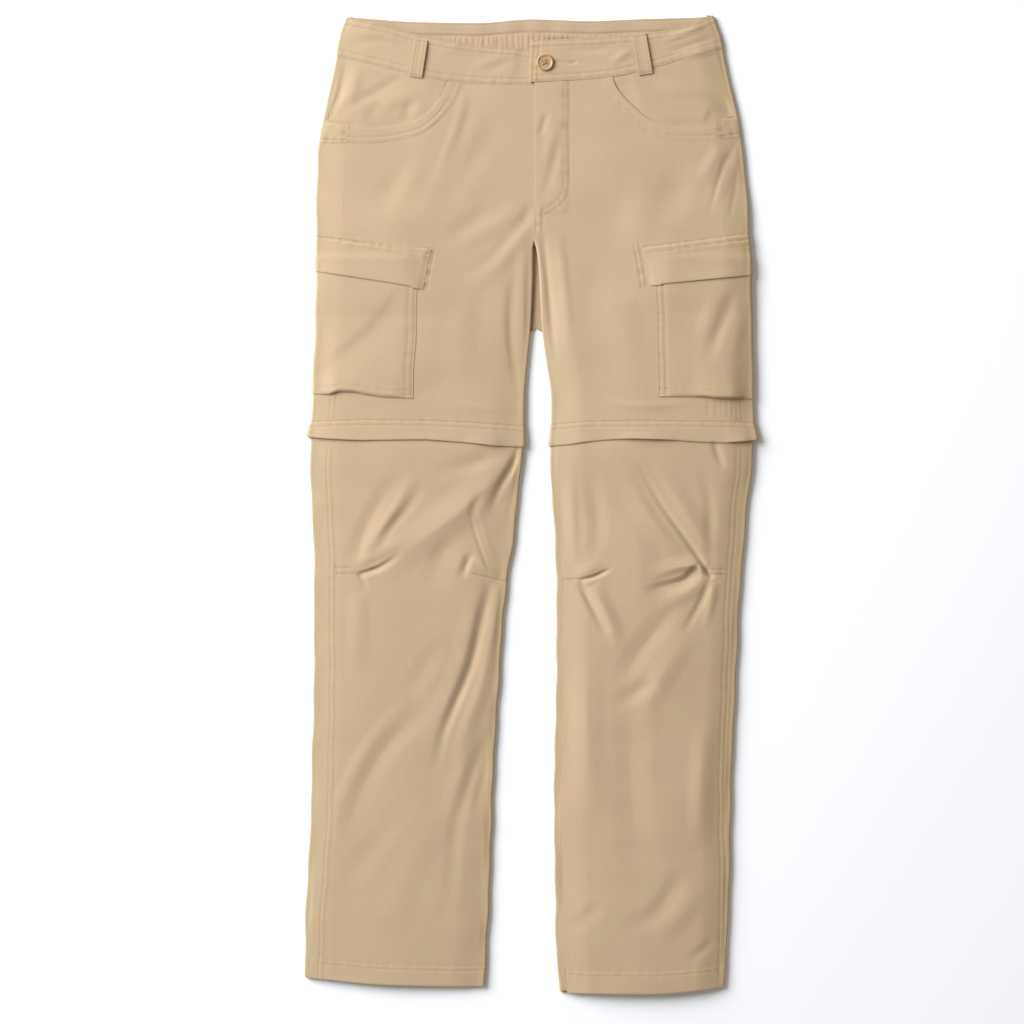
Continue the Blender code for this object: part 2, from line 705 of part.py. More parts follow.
def front_band(name, side, columns, top, low, level):
    """A front waistband. Past the turn of the side it is flat, so that it may run on over the other half."""
    s = np.array(columns, float)
    y = top(s) + np.outer([0, 0.33, 0.67, 1], low(s) - top(s))
    on_half = np.minimum(s, 200.0)
    points, normals = lifted(side, y, np.broadcast_to(on_half, y.shape), np.broadcast_to(level(s), y.shape))
    points[..., 0] += (s - on_half) * INWARD[side]
    cloth(name, points, normals, BAND_WALL)


def waistband_right():
    """Front waistband on the wearer's right: its end runs on under the left one, to carry the button."""
    edges, start, end = BAND_EDGES["right"], UNDERLAP["from"], UNDERLAP["to"]
    front_band(
        "waistband_front_right", "right",
        [*BAND_COLUMNS, 118, 150, 178, 194, 200, 206, 212, 217, 222, 234, UNDERLAP["end"]],
        lambda s: read(edges, "top", s) - 1.5 * ease((s - 196) / 12),
        lambda s: read(edges, "low", s) + 10.0 * ease((s - 217) / 5),
        lambda s: BAND_RISE - (LAYER + 0.2) * ease((s - start) / (end - start)),
    )


def waistband_left():
    """Front waistband on the wearer's left: it lies on top, and its end has the buttonhole."""
    edges = BAND_EDGES["left"]
    front_band(
        "waistband_front_left", "left", [*BAND_COLUMNS, 104, 130, 156, 180, 200, 216],
        lambda s: read(edges, "top", s), lambda s: read(edges, "low", s), lambda s: 0 * s + BAND_RISE,
    )


def back_band_low(x):
    """y of the back waistband's lower edge, straight between the front waistbands' lower corners."""
    right, left = (BAND_EDGES[side]["low"][0] for side in ("right", "left"))
    ends = [read(OUTER, side, 490.0) for side in ("right", "left")]
    return right + (left - right) * (x - ends[0]) / (ends[1] - ends[0])


def waistband_back():
    """Back waistband, its lined inner face up: the elastic in it draws that face into small gathers."""
    steps = np.linspace(GATHERS["from"], GATHERS["to"], 2 * GATHERS["count"] + 1)
    x = np.concatenate([[-190, -165, -138], steps, [186]])
    pucker = np.concatenate([[0, 0, 0], np.arange(len(steps)) % 2, [0]]) * GATHERS["height"]
    down = np.array([0, 0.12, 0.25, 0.88, 1.0])
    gathered = np.array([0, 0, 1, 1, 0])
    y = read(BACK_BAND, "top", x) + np.outer(down, back_band_low(x) - read(BACK_BAND, "top", x))
    outer = np.stack([np.broadcast_to(x, y.shape), y, np.zeros(y.shape)], axis=-1)
    rise = np.stack([0 * y, 0 * y, BAND_WALL + np.outer(gathered, pucker)], axis=-1)
    outers, inners = [outer], [outer + rise]
    # its ends turn up round the side folds, to meet the front waistbands
    for side in ("right", "left"):
        edges = BAND_EDGES[side]
        rows = edges["top"][0] + down * (edges["low"][0] - edges["top"][0])
        s = np.array([BAND_SIDE - SEAM_GAP, -QUARTER * 0.75, -QUARTER, -QUARTER - 2])
        placed, facing = lifted(side, rows[:, None] + 0 * s, s + 0 * rows[:, None], 0 * rows[:, None] + 0 * s)
        if side == "right":
            outers.insert(0, placed)
            inners.insert(0, placed - facing * BAND_WALL)
        else:
            outers.append(placed[:, ::-1])
            inners.append((placed - facing * BAND_WALL)[:, ::-1])
    shell("waistband_back", np.concatenate(outers, axis=1), np.concatenate(inners, axis=1), "elastic_lining")


def front_height(side, x, y):
    """z of the front's outer face at a place seen from above."""
    outer = read(OUTER, side, y)
    s = (x - outer) * INWARD[side] - EDGE_R + QUARTER
    return section(side, np.asarray(y, float), np.asarray(s, float))[..., 2]


def belt_loop(side):
    """A strip sewn down at both ends, which stands off the waistband between them."""
    loop = LOOPS[side]
    rows = np.linspace(0, 1, 9)
    across = np.linspace(-0.5, 0.5, 4) * loop["width"]
    (x0, y0), (x1, y1) = loop["top"], loop["low"]
    x = x0 + (x1 - x0) * rows[:, None] + across
    slope = -(x1 - x0) / (y1 - y0)
    y = y0 + (y1 - y0) * rows[:, None] + across * slope
    stand = loop["bow"] * np.sin(math.pi * rows) ** 0.6
    z = front_height(side, x, y) + BAND_RISE + LAYER + stand[:, None]
    points = np.stack([x, y, z], axis=-1)
    cloth(f"belt_loop_{side}", points, np.broadcast_to([0.0, 0.0, 1.0], points.shape))


def fly_zip():
    """The closed zip behind the fly, which joins the two fronts."""
    across, along = np.linspace(-11, 14, 4), np.linspace(446, 325, 5)
    x, y = np.meshgrid(CENTRE_FRONT + across, along)
    z = front_height("right", np.minimum(x, CENTRE_FRONT), y) - LAYER
    points = np.stack([x, y, z], axis=-1)
    cloth("fly_zip", points, np.broadcast_to([0.0, 0.0, 1.0], points.shape), CLOTH, "zip_tape")


def button():
    """A four-hole trouser button with a rim, lying on the waistband over its buttonhole."""
    b = BUTTON
    foot = float(front_height("left", b["x"], b["y"])) + BAND_RISE + SEAM_GAP
    top, rim, r = b["height"], b["rim"], b["radius"]
    dish = top - b["dish"]
    profile = [(0, 0), (r - 1.2, 0), (r, 1.4), (r - 0.5, top)]
    profile += [(r - rim, top), (r - rim - 0.8, dish), (0, dish)]
    bm = bmesh.new()
    line = [bm.verts.new((radius * MM, 0, height * MM)) for radius, height in profile]
    edges = [bm.edges.new(pair) for pair in zip(line, line[1:])]
    bmesh.ops.spin(bm, geom=line + edges, cent=(0, 0, 0), axis=(0, 0, 1), angle=2 * math.pi, steps=24,
                     use_merge=True)
    bmesh.ops.remove_doubles(bm, verts=bm.verts, dist=1e-6)
    bmesh.ops.recalc_face_normals(bm, faces=bm.faces)
    made = finish("button", bm, "button_resin")
    made.location = (b["x"] * MM, b["y"] * MM, foot * MM)
    for k in range(4):
        angle = math.pi / 4 + 0.3 + k * math.pi / 2
        holes = bmesh.new()
        width = b["hole"] * MM
        bmesh.ops.create_cone(holes, cap_ends=True, segments=8, radius1=width, radius2=width,
                              depth=4 * b["height"] * MM)
        drill = finish(f"button_hole_{k}", holes, "button_resin")
        drill.location = ((b["x"] + b["hole_circle"] * math.cos(angle)) * MM,
                          (b["y"] + b["hole_circle"] * math.sin(angle)) * MM, foot * MM)
        drill.hide_render = True
        drill.display_type = "WIRE"
        cut = made.modifiers.new(f"hole_{k}", "BOOLEAN")
        cut.operation = "DIFFERENCE"
        cut.object = drill


def main():
    for old in list(bpy.data.objects):
        bpy.data.objects.remove(old)
    for side in INWARD:
        front_upper(side)
        back_upper(side)
        hand_pocket_facing(side)
        knee_zip(side)
        cover_band(side)
        front_lower(side)
        back_lower(side)
        cargo_bag(side)
        cargo_flap(side)
        belt_loop(side)
    waistband_right()
    waistband_left()
    waistband_back()
    fly_zip()
    button()


main()
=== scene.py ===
# Convertible zip-off trousers in khaki stretch nylon, laid flat on a white studio table.
# Tables and cloth sizes are in millimetres. +X is the wearer's left, +Y the waist, +Z up from the table.
import math

import bmesh
import bpy
import numpy as np
from mathutils import Matrix, Vector


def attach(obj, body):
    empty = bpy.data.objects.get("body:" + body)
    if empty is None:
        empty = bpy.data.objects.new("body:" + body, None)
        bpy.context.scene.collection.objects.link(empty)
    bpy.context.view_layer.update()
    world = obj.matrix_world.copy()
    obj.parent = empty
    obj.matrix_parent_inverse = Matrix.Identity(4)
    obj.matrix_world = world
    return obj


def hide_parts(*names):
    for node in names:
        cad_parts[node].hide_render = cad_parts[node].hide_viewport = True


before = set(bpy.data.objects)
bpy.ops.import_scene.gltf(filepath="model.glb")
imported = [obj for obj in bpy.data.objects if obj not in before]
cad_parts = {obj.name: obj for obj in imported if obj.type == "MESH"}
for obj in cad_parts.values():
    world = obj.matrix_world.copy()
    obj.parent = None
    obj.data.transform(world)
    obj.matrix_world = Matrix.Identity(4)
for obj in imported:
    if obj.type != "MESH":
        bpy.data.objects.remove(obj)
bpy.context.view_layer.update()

mm = 0.001
inward = {"right": 1, "left": -1}  # the wearer's right leg is at -X

garment = {
    "wall": 0.9,  # cloth, as thick as it looks at an edge
    "layer": 1.1,  # from one layer's face to the next one's
    "edgeRadius": 2.4,  # the folds down each side
    "puff": {"right": 1.5, "left": 2.7},  # how far the front stands up over the air inside
    "puffReach": 34.0,
    "leastTop": 2.7,  # lowest that a crease brings the front
    "centreFront": 3.5,
    "centreBack": 5.0,
    "crotch": 190.0,
    "slitTop": 293.0,
    "seamGap": 0.06,
    "roundness": {"right": 2.2, "left": 3.2},  # a leg's front is a low arch from side to side
    "squareness": 0.62,  # 1 for round side folds, less for pressed ones
}
edgeRadius = garment["edgeRadius"]
quarter = edgeRadius * math.pi / 2  # a quarter turn of a side fold, along the cloth
seamGap = garment["seamGap"]
layer = garment["layer"]
kneeLine = 78.0  # y of the zips round the legs


# Cloth from the outermost to the innermost point of a half that is so wide
def faceRun(width):
    return width - 2 * edgeRadius + 2 * quarter


def curveTable(names, *rows):
    ordered = sorted(rows)
    return {name: np.array(values, float) for name, values in zip(names.split(), zip(*ordered))}


# A smooth curve through one column of a table, which never passes its values
def readTable(rows, column, at):
    keys, values = next(iter(rows.values())), rows[column]
    rates = np.diff(values) / np.diff(keys)
    sameWay = rates[1:] * rates[:-1] > 0
    total = np.where(sameWay, rates[1:] + rates[:-1], 1)
    turning = np.where(sameWay, 2 * rates[1:] * rates[:-1] / total, 0)
    slopes = np.concatenate([rates[:1], turning, rates[-1:]])
    at = np.clip(at, keys[0], keys[-1])
    k = np.clip(np.searchsorted(keys, at) - 1, 0, len(keys) - 2)
    span = keys[k + 1] - keys[k]
    t = (at - keys[k]) / span
    start = values[k] * (1 + 2 * t) * (1 - t) ** 2 + slopes[k] * span * t * (1 - t) ** 2
    end = values[k + 1] * t * t * (3 - 2 * t) + slopes[k + 1] * span * t * t * (t - 1)
    return start + end


def ease(t):
    t = np.clip(t, 0, 1)
    return t * t * (3 - 2 * t)


def bell(distance, width):
    return np.exp(-((distance / width) ** 2))


# x of the outline at the side of each leg
outerEdge = curveTable(
    "y right left",
    (-523, -246.4, 210.0), (-474, -246.4, 213.2), (-408, -243.7, 216.5), (-343, -240.4, 217.1),
    (-278, -238.8, 219.2), (-213, -237.2, 222.0), (-147, -236.6, 225.2), (-82, -236.6, 228.5),
    (-39, -237.2, 232.3), (5, -239.4, 236.1), (48, -240.4, 241.5), (81, -239.4, 242.1),
    (114, -238.2, 242.0), (190, -234.5, 240.5), (244, -233.5, 239.0), (331, -233.9, 236.1),
    (375, -232.8, 231.7), (397, -230.7, 229.0), (418, -227.4, 226.3), (440, -222.0, 220.9),
    (484, -212.7, 211.1), (505, -209.4, 207.3), (523, -204.0, 201.3), (533, -200.0, 197.5),
)

# x of the innermost point of each front
innerEdge = curveTable(
    "y right left",
    (-523, -51.1, 30.5), (-474, -47.9, 26.7), (-408, -44.6, 26.1), (-343, -43.0, 24.5),
    (-278, -40.3, 25.0), (-213, -35.9, 27.2), (-147, -32.1, 27.2), (-82, -26.1, 27.2),
    (-39, -18.5, 26.1), (5, -14.7, 22.8), (48, -9.8, 20.7), (81, -7.6, 21.8),
    (114, -7.1, 21.8), (157, -3.8, 16.3), (190, -0.5, 12.0), (233, 1.6, 9.8),
    (255, 2.2, 8.7), (277, 2.2, 6.0), (293, 5.9, 1.1), (310, 5.9, 1.1), (533, 5.9, 1.1),
)

# How far the seams are turned on to the front, along the cloth from the outermost and the innermost point
seamPlaces = curveTable(
    "y rightSide leftSide rightInseam leftInseam",
    (-523, 23.0, 9.5, 1.0, 9.0), (-400, 26.0, 13.5, 1.0, 8.7), (-300, 27.0, 16.5, 1.0, 8.5),
    (-100, 26.0, 18.5, 1.0, 8.2), (0, 26.0, 20.0, 1.0, 4.2), (80, 27.0, 21.5, 1.0, 1.0),
    (190, 29.0, 25.0, 1.0, 1.0), (275, 31.0, 27.5, 0.0, 0.0), (293, 31.4, 27.8, quarter, quarter),
    (310, 31.8, 28.0, quarter, quarter), (533, 32.0, 28.0, quarter, quarter),
)

# Front waistband: y of its edges, s in from the side
bandEdges = {
    "right": curveTable("s top low", (0, 530.5, 488.5), (24, 526.0, 483.0), (45, 521.5, 478.0),
                        (94, 509.5, 466.8), (122, 504.0, 461.4), (140, 501.0, 459.2), (164, 498.5, 457.6),
                        (185, 497.0, 456.8), (222, 495.0, 456.2)),
    "left": curveTable("s top low", (0, 533.0, 497.2), (28, 522.0, 490.0), (77, 513.0, 476.0),
                       (128, 508.0, 465.1), (173, 506.0, 461.3), (217, 504.3, 459.1)),
}
backBandTop = curveTable("x top", (-212, 532.0), (-185, 530.0), (-123, 525.7), (-59, 524.7), (1, 528.7),
                         (64, 526.8), (119, 528.9), (180, 530.6), (210, 533.0))

# Hand pockets: y of the opening's edge, s in from the side, to where it meets the waistband
scoops = {
    "right": curveTable("s y", (24, 411), (36, 410.5), (51, 409.5), (66.5, 410.2), (90, 413.7),
                        (104.5, 418.3), (114.5, 427), (121, 437), (125.5, 446.5), (128.5, 460)),
    "left": curveTable("s y", (24, 411), (50, 409.5), (74, 410), (99, 418.8), (115, 435), (125, 451),
                       (128, 465.1)),
}
tabTop = {"right": 418.0, "left": 423.0}
tabEnd = {"right": 33.0, "left": 29.0}
hipSeam = {
    "right": curveTable("y s", (404, 32), (411, 32), (418, 7), (425, 6.5), (445, 11), (465, 16), (488, 20)),
    "left": curveTable("y s", (404, 28), (416, 28), (423, 6), (445, 6), (497, 7)),
}

# The band over the zip: y of its edges, and how far its free edge stands off the leg
coverEdges = {
    "right": curveTable("s top low rise", (0, 92.0, 74.0, 1.0), (18, 92.6, 72.0, 1.5), (44, 93.4, 70.4, 1.4),
                        (60, 94.0, 69.8, 0.8), (80, 93.7, 70.1, 0.3), (126, 93.0, 70.6, 0.3),
                        (142, 92.4, 69.6, 0.8), (158, 91.7, 68.4, 0.8), (168, 91.3, 67.6, 0.6),
                        (182, 90.6, 66.2, 1.2), (198, 89.4, 64.3, 1.5), (211, 88.4, 63.3, 0.6),
                        (234, 86.5, 62.6, 0.2)),
    "left": curveTable("s top low rise", (0, 90.0, 70.5, 0.8), (8, 90.5, 69.6, 1.6), (18, 91.1, 68.6, 2.6),
                       (28, 91.5, 67.8, 1.8), (38, 91.9, 67.2, 0.5), (62, 92.1, 68.0, 0.2),
                       (84, 92.2, 69.4, 0.3), (95, 92.3, 70.2, 1.1), (116, 92.4, 71.0, 2.3),
                       (134, 92.5, 71.5, 1.7), (150, 92.3, 70.9, 0.6), (178, 92.1, 68.6, 0.3),
                       (205, 90.2, 64.8, 0.3), (234, 87.6, 62.6, 0.5)),
}
coverFlare = (4.6, 1.6)
coverLines = (1.7, 7.0)  # twin stitching below the band's top edge
sideLines = (1.6, 6.9)  # beside the side seams
bandLines = (1.6, 7.2)  # inside both edges of the waistband
zipSize = {"above": 5.0, "height": 6.5, "pitch": 2.6}

hems = curveTable("s right left", (0, -514.5, -524.5), (20, -516.5, -527.8), (85, -522.2, -532.4),
                  (168, -524.4, -531.6), (200, -524.6, -527.5))

cargo = {
    "right": {"front": 110.5, "bagTop": 264.0, "bagLow": (123.0, 117.5), "flapFront": (127.0, 117.0),
              "flapTop": (292.7, 280.0), "flapLow": (253.7, 233.8)},
    "left": {"front": 105.0, "bagTop": 264.0, "bagLow": (117.5, 119.0), "flapFront": (118.6, 111.4),
             "flapTop": (296.5, 281.2), "flapLow": (249.2, 237.5)},
}
cargoBack = -80.0

# Creases laid one by one: points along each, height, half widths on its left and right,
# and where along it is highest
foldRows = (
    # Right knee
    ([(-13, 59), (-48, 19), (-89, -17), (-134, -48), (-169, -67)], 2.85, 26, 28, 0.45),
    ([(-16, 60), (-47, 50), (-77, 41), (-112, 31)], -1.24, 13, 15, 0.45),
    ([(-116, 22), (-133, -3), (-150, -22), (-166, -41)], -0.99, 8, 8, 0.55),
    ([(-125, 33), (-146, -1), (-166, -32), (-184, -63)], 1.36, 10, 9, 0.5),
    ([(-138, 38), (-164, 3), (-184, -36), (-193, -67)], -1.18, 9, 15, 0.55),
    ([(-9, 64), (-21, 40), (-34, 18), (-45, -8)], -2.88, 6, 8, 0.35),
    ([(-5, 57), (-16, 29), (-26, 5), (-33, -28)], 0.62, 8, 9, 0.4),
    ([(-53, 14), (-62, -2), (-65, -17)], -1.12, 8, 7, 0.5),
    ([(-66, -8), (-61, -31), (-52, -56), (-44, -79)], -0.81, 2.6, 2.6, 0.5),
    ([(-57, -4), (-50, -31), (-40, -60), (-35, -76)], 0.25, 5, 6, 0.45),
    ([(-195, -67), (-173, -58), (-151, -46), (-136, -39)], 0.74, 10, 7, 0.45),
    ([(-190, -76), (-173, -71), (-160, -65), (-140, -51)], -2.34, 3.2, 7.5, 0.35),
    ([(-186, -75), (-182, -84), (-180, -95)], -0.68, 5, 5, 0.3),
    ([(-34, -78), (-51, -67), (-64, -56)], 1.12, 6, 8, 0.5),
    ([(-65, -53), (-70, -65), (-75, -81)], -1.74, 6, 8, 0.5),
    ([(-82, -36), (-99, -60), (-108, -93)], -0.99, 22, 16, 0.45),
    # Right shin
    ([(-44, -82), (-54, -126), (-66, -177), (-82, -216), (-95, -249), (-104, -290)], -2.11, 8, 9, 0.42),
    ([(-33, -86), (-40, -126), (-47, -164), (-55, -202), (-71, -245), (-86, -289)], 1.61, 14, 11, 0.4),
    ([(-58, -93), (-66, -126), (-74, -164), (-85, -196), (-99, -229), (-115, -267)], 0.99, 10, 16, 0.45),
    ([(-46, -248), (-60, -282), (-73, -319), (-82, -356), (-87, -409), (-97, -463)], -0.93, 12, 12, 0.35),
    ([(-45, -269), (-55, -306), (-64, -345)], -0.56, 8, 7, 0.45),
    ([(-66, -258), (-79, -300), (-91, -343)], 0.62, 13, 14, 0.45),
    ([(-108, -213), (-134, -239), (-160, -267), (-182, -305), (-199, -354)], -1.12, 18, 22, 0.45),
    ([(-129, -213), (-160, -245), (-186, -282), (-206, -328), (-212, -365)], 0.99, 16, 14, 0.5),
    ([(-125, -311), (-153, -350), (-184, -389), (-206, -419)], -0.68, 18, 20, 0.5),
    ([(-95, -335), (-121, -376), (-145, -430), (-151, -474)], 0.68, 24, 24, 0.4),
    ([(-95, -147), (-116, -178), (-138, -213)], -0.81, 16, 16, 0.5),
    ([(-189, -95), (-188, -137), (-190, -191)], 0.81, 15, 15, 0.4),
    ([(-34, -213), (-36, -278), (-40, -354), (-47, -430)], 0.81, 10, 12, 0.5),
    # Left knee
    ([(109, 60), (125, 28), (144, -4), (172, -43), (192, -73), (197, -82)], -2.99, 5, 4.5, 0.7),
    ([(129, 57), (145, 31), (164, -2), (182, -30), (197, -56)], 1.82, 18, 12, 0.62),
    ([(99, 38), (119, 3), (143, -32), (166, -58)], 1.56, 10, 20, 0.55),
    ([(191, -72), (175, -67), (153, -70), (127, -79)], 2.47, 8, 14, 0.35),
    ([(183, -69), (178, -71), (166, -82), (143, -89), (123, -95)], -2.99, 14, 7, 0.38),
    ([(190, -80), (173, -94), (149, -108), (129, -128)], 0.98, 12, 12, 0.35),
    ([(194, -81), (186, -102), (175, -123), (164, -141)], -1.17, 7, 6, 0.4),
    ([(199, -84), (195, -108), (188, -137)], 1.1, 8, 8, 0.4),
    ([(158, -104), (136, -137), (112, -169), (95, -206)], -1.82, 17, 20, 0.45),
    ([(173, -139), (149, -174), (129, -213), (121, -256)], 1.3, 20, 20, 0.45),
    ([(51, -82), (61, -80), (71, -77), (79, -73), (87, -69)], -2.47, 2.6, 5.0, 0.4),
    ([(49, -76), (64, -71), (79, -63)], 0.65, 11, 6, 0.5),
    ([(53, -84), (62, -104), (72, -123), (82, -143)], -2.08, 7, 6, 0.35),
    ([(66, -89), (77, -108), (88, -132), (95, -156)], 2.34, 14, 10, 0.4),
    ([(64, 38), (69, 5), (72, -30), (66, -60)], -1.1, 15, 13, 0.5),
    ([(42, 46), (44, 5), (46, -39), (48, -67)], 1.04, 9, 13, 0.5),
    ([(108, 16), (116, -39), (119, -82), (110, -115)], 1.3, 26, 34, 0.5),
    ([(186, 46), (194, -2), (194, -36), (195, -73)], -0.78, 9, 9, 0.5),
    ([(198, 69), (203, 55), (210, 38)], -1.43, 6, 6, 0.4),
    # Left shin
    ([(135, -191), (114, -204), (88, -221)], -1.56, 14, 16, 0.4),
    ([(112, -219), (108, -278), (112, -343), (119, -398)], -1.56, 26, 26, 0.45),
    ([(64, -147), (60, -213), (64, -289), (73, -354)], 1.56, 24, 24, 0.5),
    ([(188, -234), (184, -300), (182, -376)], 1.56, 18, 16, 0.5),
    ([(164, -398), (147, -428), (129, -448), (101, -459)], -1.1, 16, 14, 0.4),
    ([(184, -409), (162, -447), (132, -472)], 0.98, 17, 17, 0.5),
    ([(77, -432), (62, -448), (42, -461)], -0.78, 12, 12, 0.5),
    ([(199, -472), (186, -485), (171, -496)], -0.78, 8, 8, 0.5),
    # Right thigh
    ([(-72, 449), (-77, 423), (-88, 392), (-102, 362)], 0.6, 8, 8, 0.4),
    ([(-65, 444), (-71, 414), (-82, 379), (-95, 342)], -0.4, 12, 14, 0.5),
    ([(-30, 423), (-55, 388), (-82, 351), (-110, 318)], -0.65, 22, 22, 0.5),
    ([(-49, 434), (-75, 386), (-99, 347), (-132, 305)], 0.5, 22, 20, 0.5),
    ([(-134, 375), (-151, 347), (-171, 316)], -0.5, 18, 18, 0.5),
    ([(-110, 386), (-129, 353), (-151, 316)], 0.45, 18, 18, 0.5),
    ([(1, 324), (-10, 306), (-25, 287), (-42, 268), (-82, 246)], -1.0, 11, 10, 0.22),
    ([(-4, 305), (-21, 281), (-40, 257), (-69, 231)], 1.0, 15, 14, 0.35),
    ([(-12, 325), (-34, 307), (-60, 292), (-92, 277)], 0.65, 14, 12, 0.4),
    ([(-40, 325), (-62, 310), (-90, 290)], -0.65, 13, 13, 0.5),
    ([(-8, 288), (-9, 244), (-8, 201), (-5, 157)], 1.0, 8, 11, 0.45),
    ([(-20, 246), (-23, 218), (-23, 186), (-20, 153), (-15, 125)], -0.95, 9, 6, 0.5),
    ([(-47, 255), (-53, 212), (-58, 168)], -0.5, 22, 22, 0.5),
    ([(-73, 222), (-77, 179), (-75, 125)], 0.5, 22, 22, 0.5),
    # Right hand pocket
    ([(-198, 488), (-205, 462), (-210, 442), (-222, 417)], -0.9, 7, 6, 0.6),
    ([(-188, 477), (-193, 455), (-201, 434)], 0.65, 10, 9, 0.5),
    ([(-138, 466), (-164, 451), (-188, 438), (-214, 423)], -0.75, 8, 9, 0.4),
    ([(-121, 449), (-147, 440), (-175, 427)], 0.7, 12, 12, 0.5),
    ([(-127, 442), (-134, 429), (-136, 416)], -0.8, 11, 9, 0.5),
    ([(-160, 438), (-171, 427), (-177, 416)], -0.6, 12, 10, 0.5),
    # Left thigh
    ([(227, 398), (212, 373), (204, 352), (196, 325), (190, 310)], -0.6, 4, 5, 0.35),
    ([(233, 388), (220, 368), (210, 344), (199, 318)], 0.25, 7, 7, 0.4),
    ([(227, 379), (223, 348), (218, 320), (214, 310)], -0.35, 4, 5, 0.45),
    ([(208, 390), (197, 373), (186, 349)], 1.2, 14, 12, 0.5),
    ([(173, 386), (158, 342), (140, 299)], -0.9, 24, 24, 0.5),
    ([(129, 375), (119, 320), (110, 266)], 0.9, 26, 26, 0.5),
    ([(13, 295), (16, 264), (20, 225), (24, 179), (27, 144)], -1.3, 6, 7, 0.4),
    ([(27, 296), (34, 259), (38, 212), (42, 162)], 1.1, 9, 13, 0.45),
    ([(73, 277), (64, 212), (71, 135)], -0.9, 26, 26, 0.5),
    ([(101, 244), (103, 190), (110, 125)], 0.8, 22, 22, 0.5),
    # Fly
    ([(35, 403), (27, 379), (20, 355), (13, 331)], -0.6, 8, 8, 0.5),
    ([(27, 414), (20, 390), (13, 366)], 0.5, 8, 8, 0.5),
    ([(18, 427), (14, 414), (9, 399)], -0.8, 6, 6, 0.5),
    # Left hand pocket
    ([(184, 449), (206, 436), (225, 425)], -1.3, 12, 11, 0.6),
    ([(136, 460), (162, 451), (188, 449)], 0.9, 12, 12, 0.5),
    # Above the bands over the zips
    ([(75, 112), (119, 107), (173, 109)], 0.8, 6, 6, 0.5),
    ([(-88, 109), (-55, 105), (-21, 103)], 0.4, 6, 6, 0.5),
    # Right waistband
    ([(-201, 499), (-177, 504), (-151, 505)], -0.5, 8, 8, 0.5),
    ([(-66, 475), (-47, 481), (-25, 491)], 0.45, 7, 6, 0.5),
    ([(-49, 471), (-34, 477), (-16, 484)], -0.4, 6, 6, 0.5),
    ([(-99, 492), (-86, 497), (-71, 494)], 0.35, 8, 8, 0.5),
    ([(-195, 516), (-166, 510), (-138, 505)], 0.45, 5, 6, 0.5),
    ([(-201, 481), (-173, 473), (-143, 464)], 0.35, 6, 6, 0.5),
    # Left waistband
    ([(86, 479), (99, 488), (112, 494)], 0.9, 7, 7, 0.5),
    ([(140, 503), (166, 512), (193, 523)], 1.0, 6, 6, 0.5),
    ([(145, 490), (173, 499), (201, 508)], -0.9, 6, 6, 0.5),
    ([(158, 481), (184, 490), (206, 494)], 0.8, 6, 5, 0.5),
    ([(32, 497), (64, 494), (95, 499)], -0.7, 7, 7, 0.5),
)


def smoothWay(points, steps=5):
    points = np.array(points, float)
    ends = np.vstack([2 * points[0] - points[1], points, 2 * points[-1] - points[-2]])
    made = []
    for a, b, c, d in zip(ends, ends[1:], ends[2:], ends[3:]):
        for t in np.arange(steps) / steps:
            made.append(0.5 * (2 * b + (c - a) * t + (2 * a - 5 * b + 4 * c - d) * t**2
                               + (3 * b - 3 * c + d - a) * t**3))
    return np.array(made + [points[-1]])


# Share of the way along, and the signed distance from it, positive on its left
def alongAndOff(way, x, y):
    nearest = np.full(x.shape, np.inf)
    along, off = np.zeros(x.shape), np.zeros(x.shape)
    last = len(way) - 1
    for k in range(last):
        (ax, ay), (dx, dy) = way[k], way[k + 1] - way[k]
        share = ((x - ax) * dx + (y - ay) * dy) / (dx * dx + dy * dy)
        low, high = (-9 if k == 0 else 0), (9 if k == last - 1 else 1)
        held = np.clip(share, 0, 1)
        gapX, gapY = x - ax - held * dx, y - ay - held * dy
        distance = gapX**2 + gapY**2
        closer = distance < nearest
        nearest = np.where(closer, distance, nearest)
        along = np.where(closer, (k + np.clip(share, low, high)) / last, along)
        off = np.where(closer, np.sign(dx * gapY - dy * gapX) * np.sqrt(distance), off)
    return along, off


def foldFrom(points, height, left, right, peak):
    return {"way": smoothWay(points), "height": height, "left": left, "right": right,
            "power": math.log(0.5) / math.log(peak)}


folds = [foldFrom(*row) for row in foldRows]


def foldHeight(x, y, fold):
    way, reach = fold["way"], max(fold["left"], fold["right"])
    near = ((x > way[:, 0].min() - reach) & (x < way[:, 0].max() + reach)
            & (y > way[:, 1].min() - reach) & (y < way[:, 1].max() + reach))
    height = np.zeros(x.shape)
    if near.any():
        along, off = alongAndOff(way, x[near], y[near])
        share = np.minimum(np.abs(off) / np.where(off > 0, fold["left"], fold["right"]), 1)
        run = np.sin(math.pi * np.clip(along, 0, 1) ** fold["power"])
        crisp = np.clip(abs(fold["height"]) / 3.0, 0.1, 0.75) * run
        height[near] = fold["height"] * run * ((1 - crisp) * (1 - share**2) ** 2
                                               + crisp * (1 - share) ** 2 * (1 + 0.6 * share))
    return height


waves = np.random.RandomState(7)
swell = [
    (length, angle, phase)
    for length, angle, phase in zip(waves.uniform(34, 130, 16), waves.uniform(0, math.pi, 16),
                                    waves.uniform(0, 7, 16))
]


# Slack cloth is never flat: long low waves in many directions
def slackness(x, y, slope=0.006):
    total = 0
    for length, angle, phase in swell:
        turn = 2 * math.pi * (x * math.cos(angle) + y * math.sin(angle)) / length
        total = total + slope * length / (2 * math.pi) * np.sin(turn + phase)
    return total


def outline(side, y):
    wobble = 0.35 * np.sin(y / 9.5 + 1.3 * inward[side]) + 0.4 * np.sin(y / 17.0 + 2.1) * np.sin(y / 61.0)
    return readTable(outerEdge, side, y) + wobble * ease((470 - y) / 40)


